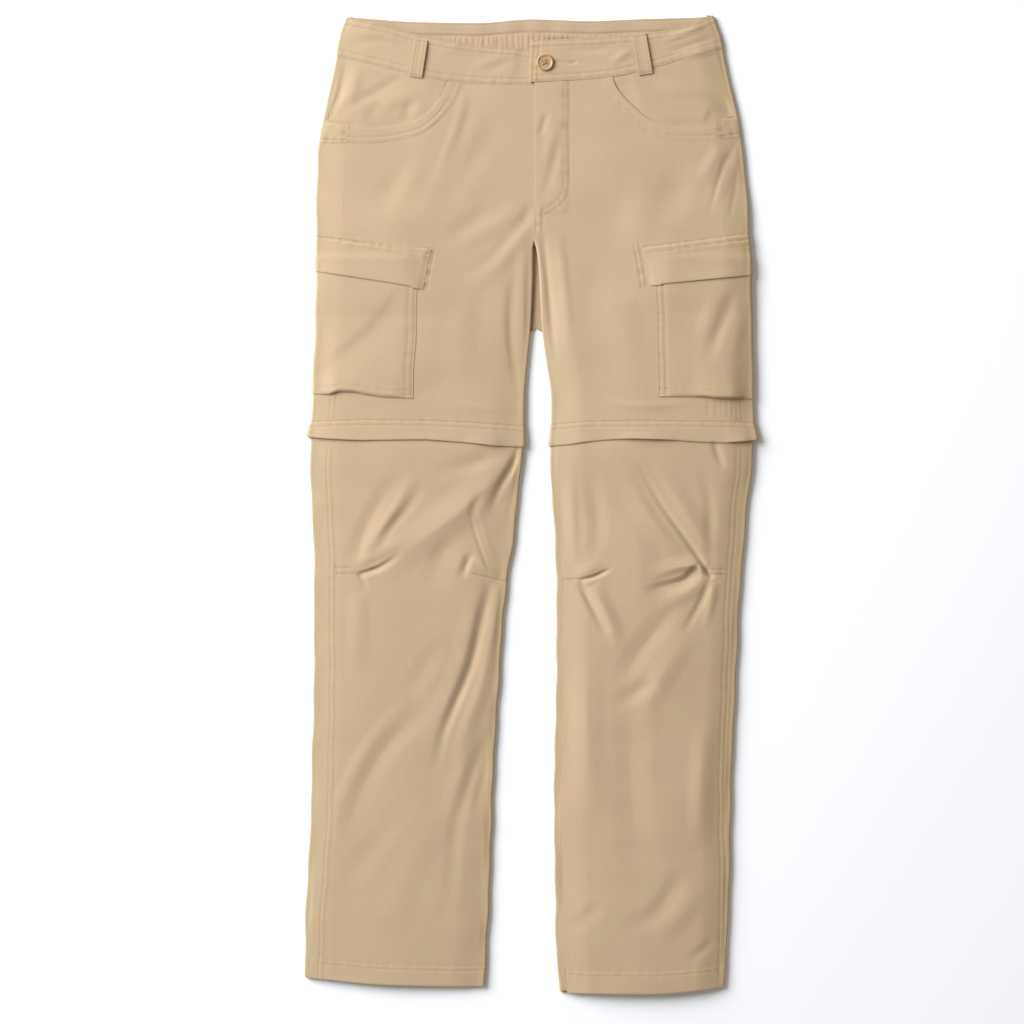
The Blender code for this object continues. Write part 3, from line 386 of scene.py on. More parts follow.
def innerPlace(side, y, back=False):
    wobble = 0.4 * np.sin(y / 8.0 + 0.7 * inward[side]) + 0.5 * np.sin(y / 19.0 + 4.0) * np.sin(y / 47.0)
    front = readTable(innerEdge, side, y) + wobble * ease((60 - y) / 60)
    if not back:
        return front
    whole = garment["centreBack"] + inward[side] * edgeRadius
    return front + (whole - front) * ease((y - garment["crotch"] + 2) / 4)


# What lies under the back lifts it: the cargo pocket's back half and the band over the zip
def underLift(side, x, y):
    inset = (x - readTable(outerEdge, side, y)) * inward[side]
    pocket, cover = cargo[side], coverEdges[side]
    lift = np.zeros(np.broadcast(x, y).shape)
    for width, low, top, height in (
        (-cargoBack, min(pocket["bagLow"]), pocket["bagTop"], layer),
        (-cargoBack, min(pocket["flapLow"]), max(pocket["flapTop"]), 2 * layer),
        (None, cover["low"].min(), cover["top"].max(), layer),
    ):
        alongLift = 1 - ease((np.maximum(low - y, y - top) - 4) / 50)
        acrossLift = 1 if width is None else 1 - ease((inset - width) / 80)
        lift = np.maximum(lift, height * alongLift * acrossLift)
    return lift


# How far the front's face is above the top of the side folds
def crown(side, x, y):
    x, y = np.broadcast_arrays(np.asarray(x, float), np.asarray(y, float))
    fromSide = np.abs(x - readTable(outerEdge, side, y)) - edgeRadius
    fromInseam = np.abs(readTable(innerEdge, side, y) - x) - edgeRadius
    split = 1 - ease((y - garment["crotch"]) / (garment["slitTop"] - garment["crotch"]))
    reach = garment["puffReach"]
    byInseam = 1 - split * (1 - ease(fromInseam / reach))
    puff = garment["puff"][side] * ease(0.12 + fromSide / reach) * byInseam
    across = np.clip(fromSide / (fromSide + np.maximum(fromInseam, 1)), 0, 1)
    arch = 0.35 + 0.65 * split
    puff = puff * ease(fromSide / 5) + garment["roundness"][side] * 4 * across * (1 - across) * arch
    relief = slackness(x, y) + sum(foldHeight(x, y, fold) for fold in folds)
    edge = ease(fromSide / 7) * (1 - split * (1 - ease(fromInseam / 7)))
    height = puff + relief * edge
    least = garment["leastTop"] - 2 * edgeRadius
    return np.where(height > least, height, least + 0.15 * (height - least))


# The back is creased too, upwards off the table
def backCreases(x, y):
    total = 0
    for k, (length, angle, phase) in enumerate(swell[:6]):
        turn = 2 * math.pi * (x * math.cos(angle) + y * math.sin(angle)) / (length * 1.3)
        total = total + np.maximum(np.sin(turn + phase), 0) ** 3 * (0.55 + 0.1 * (k % 3))
    return np.minimum(total, 1.5)


# Point on the outer face of a half's tube. Past the innermost point s runs on round to the other face.
def sectionPoint(side, y, s, back=False, flare=(0, 0)):
    way = inward[side]
    outer = outline(side, y) - way * flare[0]
    inner = innerPlace(side, y, back) + way * flare[1]
    width = (inner - outer) * way
    face, run, square = np.where(s < 0, -1, 1), np.abs(s), garment["squareness"]
    left = faceRun(width) - run
    turnOut, turnIn = np.clip(run / edgeRadius, 0, math.pi / 2), np.clip(left / edgeRadius, -math.pi / 2,
                                                                         math.pi / 2)
    byOuter = edgeRadius * (1 - np.cos(turnOut) ** square) + np.maximum(run - quarter, 0)
    byInner = width - edgeRadius * (1 - np.cos(turnIn) ** square) - np.maximum(-left - quarter, 0)
    nearInner = left < quarter
    x = outer + way * np.where(nearInner, byInner, byOuter)
    turned = np.sin(np.where(nearInner, turnIn, turnOut))
    up = face * np.sign(turned) * np.abs(turned) ** square
    z = underLift(side, x, y) + edgeRadius * (1 + up)
    z = z + np.maximum(up, 0) * crown(side, x, y)
    flat = ease((run - quarter) / 12) * ease((left - quarter) / 12)
    z = z + np.maximum(-up, 0) * flat * backCreases(x, y)
    return np.stack(np.broadcast_arrays(x, y, z), axis=-1)


# Points a level out from the tube's face, along its normal, and the normals
def lifted(side, y, s, level, back=False, flare=(0, 0)):
    y, s = np.broadcast_arrays(np.asarray(y, float), np.asarray(s, float))
    step = 0.4
    run = sectionPoint(side, y, s + step, back, flare) - sectionPoint(side, y, s - step, back, flare)
    rise = sectionPoint(side, y + step, s, back, flare) - sectionPoint(side, y - step, s, back, flare)
    normal = np.cross(run, rise) * inward[side]
    normal /= np.linalg.norm(normal, axis=-1, keepdims=True)
    return sectionPoint(side, y, s, back, flare) + normal * np.asarray(level)[..., None], normal


def sideSeam(side):
    return lambda y: readTable(seamPlaces, side + "Side", y)


def frontEnd(side):
    def end(y):
        width = (innerPlace(side, y) - outline(side, y)) * inward[side]
        return faceRun(width) - readTable(seamPlaces, side + "Inseam", y) - seamGap / 2
    return end


def frontTop(side):
    scoop, band = scoops[side], bandEdges[side]

    def top(s):
        underBand = readTable(band, "low", s) - seamGap
        return np.where(s < scoop["s"][-1], np.minimum(readTable(scoop, "y", s), underBand), underBand)
    return top


def zipReach(side):
    return faceRun((readTable(innerEdge, side, kneeLine) - readTable(outerEdge, side, kneeLine))
                   * inward[side])


# y of an edge of the band over the zip: by its table over the front, straight across underneath
def kneeEdge(side, column, s):
    reach = zipReach(side)
    over = readTable(coverEdges[side], column, np.where(np.abs(s) > reach, 2 * reach - np.abs(s), np.abs(s)))
    ends = readTable(coverEdges[side], column, np.array([0.0, reach]))
    under = ends[0] + (ends[1] - ends[0]) * np.abs(s) / reach
    return np.where((s < 0) & (np.abs(s) < reach), under, over)


def zipLine(side, edge):
    return lambda s: kneeEdge(side, "low", s) + zipSize["above"] + edge * zipSize["height"]


def hemLine(side):
    return lambda s: readTable(hems, side, np.abs(s))


# A sewn edge or line as (s, y) points, turned so that "toward" is on its positive side
def trimAlong(points, toward, stitches=(), bulk=0.0, turned=8.0, roll=0.0, groove=0.3, pucker=0.14):
    way = np.array(points, float)
    _, off = alongAndOff(way, np.array([float(toward[0])]), np.array([float(toward[1])]))
    length = np.hypot(*np.diff(way, axis=0).T).sum()
    return {"way": way, "hand": float(np.sign(off[0])), "length": length, "stitches": stitches, "bulk": bulk,
            "turned": turned, "roll": roll, "groove": groove, "pucker": pucker}


def trimRelief(trim, s, y):
    along, off = alongAndOff(trim["way"], s, y)
    off = off * trim["hand"]
    on = 1 - ease((np.maximum(-along, along - 1) * trim["length"] - 1) / 2)
    relief = trim["bulk"] * (1 - ease((off - trim["turned"]) / 3)) * (off > -3)
    relief = relief - trim["roll"] * np.clip(1 - np.abs(off) / 1.2, 0, 1) ** 2
    for place in trim["stitches"]:
        relief = relief - trim["groove"] * bell(off - place, 1.0)
    if trim["stitches"]:
        run = along * trim["length"]
        waver = np.sin(run / 1.75 + 1.2 * np.sin(run / 11.0)) + 0.6 * np.sin(run / 3.1 + 2.0)
        relief = relief + trim["pucker"] * waver * bell(off - np.mean(trim["stitches"]), 5.0)
    return relief * on


def levelWith(base, trims):
    return lambda y, s: base(y, s) + sum(trimRelief(trim, s, y) for trim in trims)


def offsetWay(way, distance):
    run = np.gradient(way, axis=0)
    run /= np.linalg.norm(run, axis=1, keepdims=True)
    return way + np.stack([-run[:, 1], run[:, 0]], axis=1) * distance


def resampled(path, pitch):
    gone = np.concatenate([[0], np.cumsum(np.linalg.norm(np.diff(path, axis=0), axis=1))])
    at = np.arange(pitch / 2, gone[-1], pitch)
    return np.stack([np.interp(at, gone, path[:, k]) for k in range(path.shape[1])], axis=1)


thread = {"pitch": 3.2, "length": 2.5, "radius": 0.3, "sink": 0.05}


# Each stitch is a little lozenge of thread lying along the seam
def sewPath(bm, points, facing, pitch=thread["pitch"], length=thread["length"], radius=thread["radius"]):
    both = resampled(np.hstack([points, facing]), pitch)
    runs = np.gradient(both[:, :3], axis=0) if len(both) > 1 else np.zeros((0, 3))
    for place, run in zip(both, runs):
        along = Vector(run).normalized()
        up = Vector(place[3:]).normalized()
        across = up.cross(along).normalized()
        frameOf = Matrix((along * length / 2, across * radius, up * radius)).transposed() * mm
        frameOf = frameOf.to_4x4()
        frameOf.translation = Vector(place[:3]) * mm
        bmesh.ops.create_icosphere(bm, subdivisions=1, radius=1, matrix=frameOf)


def sewTrims(bm, side, trims, level, back=False):
    for trim in trims:
        for place in trim["stitches"]:
            s, y = resampled(offsetWay(trim["way"], place * trim["hand"]), 1.0).T
            if len(s) > 3:
                points, facing = lifted(side, y, s, level(y, s) - thread["sink"], back)
                sewPath(bm, points, facing)


def hexColour(value):
    parts = [int(value[k:k + 2], 16) / 255 for k in (1, 3, 5)]
    return tuple(part / 12.92 if part <= 0.04045 else ((part + 0.055) / 1.055) ** 2.4
                 for part in parts) + (1,)


def addNode(tree, kind, settings=None, inputs=None):
    node = tree.nodes.new("ShaderNode" + kind)
    for name, value in (settings or {}).items():
        setattr(node, name, value)
    for name, value in (inputs or {}).items():
        if isinstance(value, bpy.types.NodeSocket):
            tree.links.new(value, node.inputs[name])
        else:
            node.inputs[name].default_value = value
    return node


def startMaterial(name, roughness, **fixed):
    made = bpy.data.materials.new(name)
    made.use_nodes = True
    tree = made.node_tree
    shader = tree.nodes["Principled BSDF"]
    shader.inputs["Roughness"].default_value = roughness
    for socket, value in fixed.items():
        shader.inputs[socket.replace("_", " ")].default_value = value
    return made, tree, shader


# Woven cloth: threads drawn as two crossing waves, colour drifting over the bolt,
# and painted shade that darkens the seams in their grooves
def wovenCloth(name, look):
    made, tree, shader = startMaterial(name, look["roughness"], Sheen_Weight=look["sheen"],
                                       Sheen_Roughness=0.45, Specular_IOR_Level=look["specular"])
    grain = addNode(tree, "UVMap", {"uv_map": "grain"}).outputs["UV"]
    apart = addNode(tree, "SeparateXYZ", None, {0: grain})
    turns = 2 * math.pi / (look["thread"] * mm)
    threads = []
    for axis, other in (("X", "Y"), ("Y", "X")):
        scaled = addNode(tree, "Math", {"operation": "MULTIPLY"},
                         {0: apart.outputs[axis], 1: turns}).outputs[0]
        wavy = addNode(tree, "Math", {"operation": "SINE"}, {0: scaled}).outputs[0]
        half = addNode(tree, "Math", {"operation": "MULTIPLY"},
                       {0: apart.outputs[other], 1: turns / 2}).outputs[0]
        over = addNode(tree, "Math", {"operation": "COSINE"}, {0: half}).outputs[0]
        threads.append(addNode(tree, "Math", {"operation": "MULTIPLY"}, {0: wavy, 1: over}).outputs[0])
    weave = addNode(tree, "Math", {"operation": "ADD"}, {0: threads[0], 1: threads[1]}).outputs[0]
    drift = addNode(tree, "TexNoise", None,
                    {"Vector": grain, "Scale": 1 / 0.055, "Detail": 3.0, "Roughness": 0.55})
    stretched = addNode(tree, "Mapping", None,
                        {"Vector": grain, "Scale": (1 / 0.0022, 1 / 0.016, 1)}).outputs[0]
    slub = addNode(tree, "TexNoise", None, {"Vector": stretched, "Scale": 1.0, "Detail": 2.0})
    tone = addNode(tree, "MapRange", None, {"Value": drift.outputs["Fac"], "From Min": 0.3, "From Max": 0.7})
    colour = addNode(tree, "Mix", {"data_type": "RGBA"},
                     {"Factor": tone.outputs[0], 6: hexColour(look["base"]),
                      7: hexColour(look["warm"])}).outputs[2]
    streak = addNode(tree, "MapRange", None,
                     {"Value": slub.outputs["Fac"], "From Min": 0.25, "From Max": 0.75,
                      "To Min": 0.0, "To Max": look["streak"]}).outputs[0]
    colour = addNode(tree, "Mix", {"data_type": "RGBA"}, {"Factor": streak, 6: colour,
                                                          7: hexColour(look["dark"])}).outputs[2]
    # Painted shade: where the sewn relief sinks below the cloth, in grooves and rolled edges, the colour is
    # mixed toward the dark one
    sewnReliefShade = addNode(tree, "Attribute", {"attribute_name": "sewnReliefShade"}).outputs["Fac"]
    paintedGrooveShade = addNode(tree, "MapRange", None, {"Value": sewnReliefShade, "From Min": 0.0, "From Max": -0.5, "To Min": 0.0,
                                            "To Max": look["grooveShadeStrength"]}).outputs[0]
    colour = addNode(tree, "Mix", {"data_type": "RGBA"}, {"Factor": paintedGrooveShade, 6: colour,
                                                          7: hexColour(look["dark"])}).outputs[2]
    tree.links.new(colour, shader.inputs["Base Color"])
    surface = addNode(tree, "Math", {"operation": "MULTIPLY_ADD"},
                      {0: slub.outputs["Fac"], 1: look["slubs"], 2: weave})
    bump = addNode(tree, "Bump", None,
                   {"Height": surface.outputs[0], "Strength": look["bump"], "Distance": 0.0002})
    tree.links.new(bump.outputs[0], shader.inputs["Normal"])
    return made


# Stretch-woven nylon with a matt, slightly sandy hand. The real threads are 0.2 mm apart; drawn at 0.7 mm.
nylonLook = {"base": "#B9A582", "warm": "#BBA383", "dark": "#8A6636", "thread": 0.7, "roughness": 0.86,
             "sheen": 0.12, "specular": 0.25, "bump": 0.16, "streak": 0.06, "grooveShadeStrength": 0.38, "slubs": 0.8}
# Brushed tricot lining inside the waist, pinker and softer than the nylon
liningLook = {"base": "#B9A484", "warm": "#BCA185", "dark": "#8C6C48", "thread": 0.9, "roughness": 0.92,
              "sheen": 0.2, "specular": 0.2, "bump": 0.25, "streak": 0.10, "grooveShadeStrength": 0.35, "slubs": 0.6}
# Zip tape is a tight polyester herringbone, a little shinier than the cloth
tapeLook = {"base": "#A38D6C", "warm": "#A78F6E", "dark": "#745D3C", "thread": 0.8, "roughness": 0.7,
            "sheen": 0.05, "specular": 0.35, "bump": 0.3, "streak": 0.05, "grooveShadeStrength": 0.2, "slubs": 0.4}
finishes = {
    "cloth": wovenCloth("stretchWovenNylon", nylonLook),
    "lining": wovenCloth("brushedLining", liningLook),
    "zip": wovenCloth("polyesterZipTape", tapeLook),
}


# Spun polyester thread: a faint twist, slightly glossier than the cloth that it sinks into
def sewingThread():
    made, tree, shader = startMaterial("spunPolyesterThread", 0.6, Specular_IOR_Level=0.35)
    place = addNode(tree, "TexCoord").outputs["Object"]
    twist = addNode(tree, "TexWave", {"wave_type": "BANDS", "bands_direction": "DIAGONAL"},
                    {"Vector": place, "Scale": 1 / 0.0012, "Distortion": 0.4})
    colour = addNode(tree, "Mix", {"data_type": "RGBA"},
                     {"Factor": twist.outputs["Fac"], 6: hexColour("#A89169"),
                      7: hexColour("#B6A07B")}).outputs[2]
    tree.links.new(colour, shader.inputs["Base Color"])
    bump = addNode(tree, "Bump", None, {"Height": twist.outputs["Fac"], "Strength": 0.2, "Distance": 0.0001})
    tree.links.new(bump.outputs[0], shader.inputs["Normal"])
    return made


# Moulded nylon coil teeth, smoother than the tape
def coilNylon():
    made, tree, shader = startMaterial("mouldedNylonCoil", 0.42, Specular_IOR_Level=0.5)
    place = addNode(tree, "TexCoord").outputs["Object"]
    drift = addNode(tree, "TexNoise", None, {"Vector": place, "Scale": 400.0, "Detail": 2.0})
    colour = addNode(tree, "Mix", {"data_type": "RGBA"},
                     {"Factor": drift.outputs["Fac"], 6: hexColour("#A58A60"),
                      7: hexColour("#B59A70")}).outputs[2]
    tree.links.new(colour, shader.inputs["Base Color"])
    return made


# Cast polyester button: tan with a faint cloudy grain, polished but handled
def buttonResin():
    made, tree, shader = startMaterial("castPolyesterButton", 0.38, Coat_Weight=0.15, Coat_Roughness=0.3)
    place = addNode(tree, "TexCoord").outputs["Object"]
    stretched = addNode(tree, "Mapping", None, {"Vector": place, "Scale": (180, 420, 300),
                                                "Rotation": (0, 0, 0.6)}).outputs[0]
    cloud = addNode(tree, "TexNoise", None,
                    {"Vector": stretched, "Scale": 1.0, "Detail": 4.0, "Distortion": 0.6})
    tone = addNode(tree, "MapRange", None, {"Value": cloud.outputs["Fac"], "From Min": 0.3, "From Max": 0.7})
    colour = addNode(tree, "Mix", {"data_type": "RGBA"}, {"Factor": tone.outputs[0], 6: hexColour("#A4845A"),
                                                          7: hexColour("#B8986C")}).outputs[2]
    tree.links.new(colour, shader.inputs["Base Color"])
    fine = addNode(tree, "TexNoise", None, {"Vector": place, "Scale": 2500.0, "Detail": 2.0})
    bump = addNode(tree, "Bump", None, {"Height": fine.outputs["Fac"], "Strength": 0.08, "Distance": 0.0001})
    tree.links.new(bump.outputs[0], shader.inputs["Normal"])
    return made


finishes["thread"] = sewingThread()
finishes["coil"] = coilNylon()
finishes["button"] = buttonResin()


def linked(name, data):
    made = bpy.data.objects.new(name, data)
    bpy.context.scene.collection.objects.link(made)
    return made


def putInScene(name, bm, finish):
    mesh = bpy.data.meshes.new(name)
    bm.to_mesh(mesh)
    bm.free()
    mesh.polygons.foreach_set("use_smooth", [True] * len(mesh.polygons))
    mesh.materials.append(finishes[finish])
    return linked(name, mesh)


# A grid of cloth moved to its places, its outer face along facing, with a wall behind it
def clothFrom(name, points, facing, grain, sewnReliefShade, finish="cloth", wall=garment["wall"], ring=False):
    rows, columns = points.shape[:2]
    bm = bmesh.new()
    bmesh.ops.create_grid(bm, x_segments=columns - 1, y_segments=rows - 1, size=1)
    bm.verts.ensure_lookup_table()
    uvLayer = bm.loops.layers.uv.new("grain")
    # The sewn relief on each point is kept as an attribute that sets the painted shade in grooves
    paintedShadeLayer = bm.verts.layers.float.new("sewnReliefShade")
    places, grainList = points.reshape(-1, 3) * mm, (grain.reshape(-1, 2) * mm).tolist()
    for vert, place, grooveShadeMask in zip(bm.verts, places.tolist(), sewnReliefShade.ravel().tolist()):
        vert.co = place
        vert[paintedShadeLayer] = grooveShadeMask
    for face in bm.faces:
        for loop in face.loops:
            loop[uvLayer].uv = grainList[loop.vert.index]
    bm.normal_update()
    bm.faces.ensure_lookup_table()
    middle = bm.faces[len(bm.faces) // 2]
    if middle.normal.dot(Vector(facing.reshape(-1, 3)[middle.verts[0].index])) < 0:
        bmesh.ops.reverse_faces(bm, faces=bm.faces)
    if ring:
        bmesh.ops.remove_doubles(bm, verts=bm.verts, dist=1e-6)
    for edge in bm.edges:
        edge.smooth = not edge.is_boundary
    made = putInScene(name, bm, finish)
    wallOf = made.modifiers.new("wall", "SOLIDIFY")
    wallOf.thickness = wall * mm
    wallOf.offset = -1
    return made


def upright(shape):
    return np.zeros(shape) + (0, 0, 1)


def quadAreas(points):
    a, b, c, d = points[:-1, :-1], points[:-1, 1:], points[1:, 1:], points[1:, :-1]
    return 0.5 * np.linalg.norm(np.cross(c - a, d - b), axis=-1)


# Place in the cloth's own weave
def grainOf(side, s, y):
    return np.stack([s * inward[side], y], axis=-1)


leastSide = 0.0102  # a cut is never narrower than 10 mm
cuts = {}  # flat width and length of each piece, for the print at the end


# What every piece of cloth is given: what it rides on, the node it stands for and its cut
def register(piece, node, points, sewn=()):
    widths = np.linalg.norm(np.diff(points, axis=1), axis=-1).sum(axis=1)
    lengths = np.linalg.norm(np.diff(points, axis=0), axis=-1).sum(axis=0)
    width, length = (max(float(sizes.max()) * mm, leastSide) for sizes in (widths, lengths))
    area = min(float(quadAreas(points).sum()) * mm * mm, width * length)
    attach(piece, "root")
    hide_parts(node)
    cuts[node] = (round(width, 3), round(length, 3), round(area, 4))


def registerSewing(name, bm, finish="thread"):
    if not bm.verts:
        bm.free()
        return []
    made = putInScene(name, bm, finish)
    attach(made, "root")
    return [made]


# Distances from an edge where the grid is close enough to show grooves and rolled edges
edgeSteps = np.array([0.0, 0.7, 1.4, 2.1, 3.0, 4.2, 5.6, 6.6, 7.4, 8.4, 10.0, 12.0])


def spacedShares(near, reach, spacing, far, fine=(0, 0, 1)):
    low, high, close = fine
    even = np.arange(spacing, reach - spacing / 2, spacing)
    middle = np.sort(np.concatenate([even[(even < low) | (even > high)],
                                     np.arange(low, high, close)])) / reach
    middle = middle[middle > 0]
    share = np.concatenate([0 * near, middle, 0 * far + 1])
    return share, np.concatenate([near, near[-1] * (1 - middle) - far[-1] * middle, -far[::-1]])


# s and y over a piece whose columns and rows follow its edges
def gridBetween(start, end, top, low, columns, rows):
    (shareX, offsetX), (shareY, offsetY) = columns, rows
    within = np.array(60.0)  # any s that is inside the piece
    y = np.linspace(float(top(within)), float(low(within)), len(shareY))[:, None]
    s = start(y) * (1 - shareX) + end(y) * shareX + offsetX
    for _ in range(4):
        y = top(s) * (1 - shareY[:, None]) + low(s) * shareY[:, None] - offsetY[:, None]
        s = start(y) * (1 - shareX) + end(y) * shareX + offsetX
    return s, y


# One flat-cut piece on its half's tube, sewn along its trims
def panel(node, side, s, y, base, trims, back=False):
    level = levelWith(base, trims)
    points, facing = lifted(side, y, s, level(y, s), back)
    # What the trims add is kept for the material's painted shade in the grooves
    sewnReliefShade = level(y, s) - base(y, s)
    piece = clothFrom(node + "_cloth", points, facing, grainOf(side, s, y), sewnReliefShade)
    bm = bmesh.new()
    sewTrims(bm, side, trims, level, back)
    register(piece, node, points, registerSewing(node + "_stitching", bm))
    return level


def edgeWay(edge, low, high, step=6.0):
    y = np.arange(low, high + step / 2, step)
    return np.stack([edge(y), y], axis=1)


# Small upright gathers where the bellows pocket is let in above the zip
gathers = {"right": (3.0, 30.0, 0.2), "left": (8.0, 62.0, 0.13)}


def bellowsGathers(side, s, y):
    low, high, height = gathers[side]
    over = ease((s - low) / 8) * ease((high - s) / 10) * ease((y - 94) / 4) * ease((124 - y) / 6)
    return height * over * np.sin(0.9 * s + 1.4 * np.sin(0.19 * s) + 0.03 * y)


openingLines = {"right": (9.8, 16.2), "left": (8.3, 12.8)}
openingDepth = {"right": 0.45, "left": 0.95}
seamShows = {"right": 240, "left": 200}  # how far up the thigh the side seam is seen as a line


def frontThigh(side):
    top, low = frontTop(side), lambda s: zipLine(side, 1)(s) + seamGap
    start, end = (lambda y: sideSeam(side)(y) + seamGap / 2), frontEnd(side)
    scoop, pocket = scoops[side], cargo[side]
    openingEnd = scoop["s"][-1] - float(start(450.0))
    s, y = gridBetween(start, end, top, low,
                       spacedShares(edgeSteps, 193, 2.3, edgeSteps, (openingEnd - 17, openingEnd + 5, 0.8)),
                       spacedShares(edgeSteps, 330, 2.3, edgeSteps))
    steep = scoop["s"][-4]
    along = np.concatenate([np.linspace(start(404.0), steep, 40), np.linspace(steep, scoop["s"][-1], 40)[1:]])
    trims = [
        trimAlong(np.stack([along, readTable(scoop, "y", along)], axis=1), (70, 380), openingLines[side],
                  bulk=0.3, turned=openingLines[side][1] - 1, roll=0.15, groove=0.35, pucker=0.06),
        trimAlong(edgeWay(start, 84, seamShows[side]), (90, 160), roll=0.04),
    ]
    upper, lower = pocket["flapFront"]
    dashes = {"right": (3.6,), "left": (4.0, 9.5)}[side]
    front = [(upper, pocket["flapTop"][1] + 1), (lower, pocket["flapLow"][1] + 1)]
    trims.append(trimAlong(front, (160, 258), dashes, groove=0.25))
    if side == "left":
        trims.append(trimAlong(edgeWay(end, 297, 321, 3), (160, 310), (1.6, 8.4), roll=0.3))
        trims.append(trimAlong(edgeWay(end, 322, 455), (160, 400), roll=0.25))
        fly = smoothWay([(end(y0) - inset, y0) for inset, y0 in (
            (31.2, 457), (31.2, 420), (31.2, 380), (31.2, 350), (28.0, 336), (19.2, 327), (9.5, 321.5))])
        trims.append(trimAlong(fly, (120, 400), (0.0, 6.0), groove=0.3, pucker=0.12))

    def base(y, s):
        inset = end(y) - s
        raised = 0.6 * ease((y - 314) / 6) * (1 - ease((inset - 30) / 9)) if side == "left" else 0 * s
        return raised + bellowsGathers(side, s, y)

    panel(f"front_thigh_{side}", side, s, y, base, trims)


def backPiece(node, side, top, low, rowShares, trims, stripEdge):
    shareY, offsetY = rowShares
    strips = np.linspace(0, 1, 20)
    flats = np.arange(1, 46) / 46

    def columnsAt(y):
        y = np.broadcast_to(y, (len(shareY), y.shape[1]))
        whole = faceRun((innerPlace(side, y, True) - outline(side, y)) * inward[side])
        parted = ease((garment["crotch"] + 2 - y) / 4)
        hip = -quarter - seamGap / 2
        leg = readTable(seamPlaces, side + "Inseam", y) - seamGap / 2
        last = -(whole + hip * (1 - parted) + leg * parted)
        strip = stripEdge(y) - seamGap / 2
        columns = [strip + (4.0 - strip) * u for u in strips[:-1]]
        columns += [fold + 0 * y
                    for fold in (4.0, 3.0, 2.2, 1.2, 0.0, -1.2, -2.2, -3.0, -4.0, -6.0, -9.0, -13.0)]
        columns += [-13 + (last + 16 + 13) * u for u in flats]
        columns += [last + inset for inset in (16, 13, 10.5, 9, 8, 7, 6, 5, 4, 3, 2, 1, 0)]
        return columns

    count = len(strips) - 1 + 12 + len(flats) + 13
    within = np.array(10.0)
    y = np.linspace(float(top(within)), float(low(within)), len(shareY))[:, None] * np.ones((1, count))
    for _ in range(4):
        s = np.stack([column[:, k] for k, column in enumerate(columnsAt(y))], axis=1)
        y = top(s) * (1 - shareY[:, None]) + low(s) * shareY[:, None] - offsetY[:, None]
    s = np.stack([column[:, k] for k, column in enumerate(columnsAt(y))], axis=1)
    panel(node, side, s, y, lambda y, s: tabRise(side, y, s), trims, back=True)


# The tab that the back ends in, over the hand pocket's corner
def tabRise(side, y, s):
    middle = {"right": 404.0, "left": 409.0}[side]
    return 0.45 * ease((s - 3) / 3) * (1 - ease((np.abs(y - middle) - 9) / 3))


def backTop(side):
    band = bandEdges[side]

    def top(s):
        x = readTable(outerEdge, side, 484.0) + inward[side] * np.maximum(np.abs(s) - quarter, 0)
        return np.where(s > 0, readTable(band, "low", s), backBandLow(x)) - seamGap
    return top


def backBandLow(x):
    right, left = (bandEdges[side]["low"][0] for side in ("right", "left"))
    ends = [readTable(outerEdge, side, 490.0) for side in ("right", "left")]
    return right + (left - right) * (x - ends[0]) / (ends[1] - ends[0])


def backThigh(side):
    seam, hip = sideSeam(side), hipSeam[side]
    strip = lambda y: np.where(y > hip["y"][0], readTable(hip, "s", y), seam(y))
    tab = {"right": (29.5, 396.0, 410.0, 397.6, 396.6), "left": (25.5, 400.0, 416.5, 404.0, 400.4)}[side]
    inner, lowEnd, highEnd, outLine, inLine = tab
    edge = np.linspace(412, 424, 9)
    trims = [
        trimAlong(edgeWay(seam, 84, min(seamShows[side], hip["y"][0] - 6)), (4, 160), sideLines, bulk=0.04,
                  turned=8, roll=0.04, groove=0.2, pucker=0.07),
        trimAlong([(inner, lowEnd), (inner, highEnd)], (10, 404), (0.0, 3.2), groove=0.25),
        trimAlong([(3.0, outLine), (inner, inLine)], (15, 410), (0.0,), groove=0.3),
        trimAlong(np.stack([readTable(hip, "s", edge), edge], axis=1), (4, 404), roll=0.2),
    ]
    backPiece(f"back_thigh_{side}", side, backTop(side), lambda s: zipLine(side, 1)(s) + seamGap,
              spacedShares(edgeSteps, 400, 3.2, edgeSteps, (56, 90, 0.8)), trims, strip)


hemLines = {"right": (17.5, 21.5), "left": (20.0, 24.0)}


def hemTrim(side, low, high):
    s = np.arange(low, high, 8.0)
    return trimAlong(np.stack([s, hemLine(side)(s)], axis=1), ((low + high) / 2, -450), hemLines[side],
                     bulk=0.3, turned=hemLines[side][1] - 1, roll=0.3, groove=0.25, pucker=0.07)


# Short darts that shape the knee: lines of stitching that end at a fold
darts = {
    "right": (((18.5, -68.2), (42.0, -68.2)), ((18.5, -75.4), (46.0, -74.6)),
              ((172.0, -74.5), (212.0, -83.7))),
    "left": (((16.5, -70.6), (35.0, -70.4)), ((16.5, -76.4), (34.0, -75.6)),
             ((179.0, -80.4), (204.0, -83.2))),
}


def dartTrims(side):
    return [trimAlong(way, (way[0][0], way[0][1] - 30), (0.0,), groove=0.28, pucker=0.05)
            for way in darts[side]]


def frontLeg(side):
    top, low = (lambda s: zipLine(side, 0)(s) - seamGap), hemLine(side)
    start, end = (lambda y: sideSeam(side)(y) + seamGap / 2), frontEnd(side)
    foot = np.array([0, 0.7, 1.4, 3, 6, 10, 13, 15, 16.5, 17.5, 18.5, 20, 21, 22, 23, 24, 25, 27.0])
    s, y = gridBetween(start, end, top, low, spacedShares(edgeSteps, 170, 1.9, edgeSteps),
                       spacedShares(edgeSteps, 570, 2.4, foot, (124, 172, 1.0)))
    trims = [trimAlong(edgeWay(start, -520, 60), (90, -200), roll=0.05),
             trimAlong(edgeWay(end, -520, 60), (90, -200), roll=0.1), hemTrim(side, 8, 206), *dartTrims(side)]
    panel(f"front_leg_{side}", side, s, y, lambda y, s: 0 * s, trims)


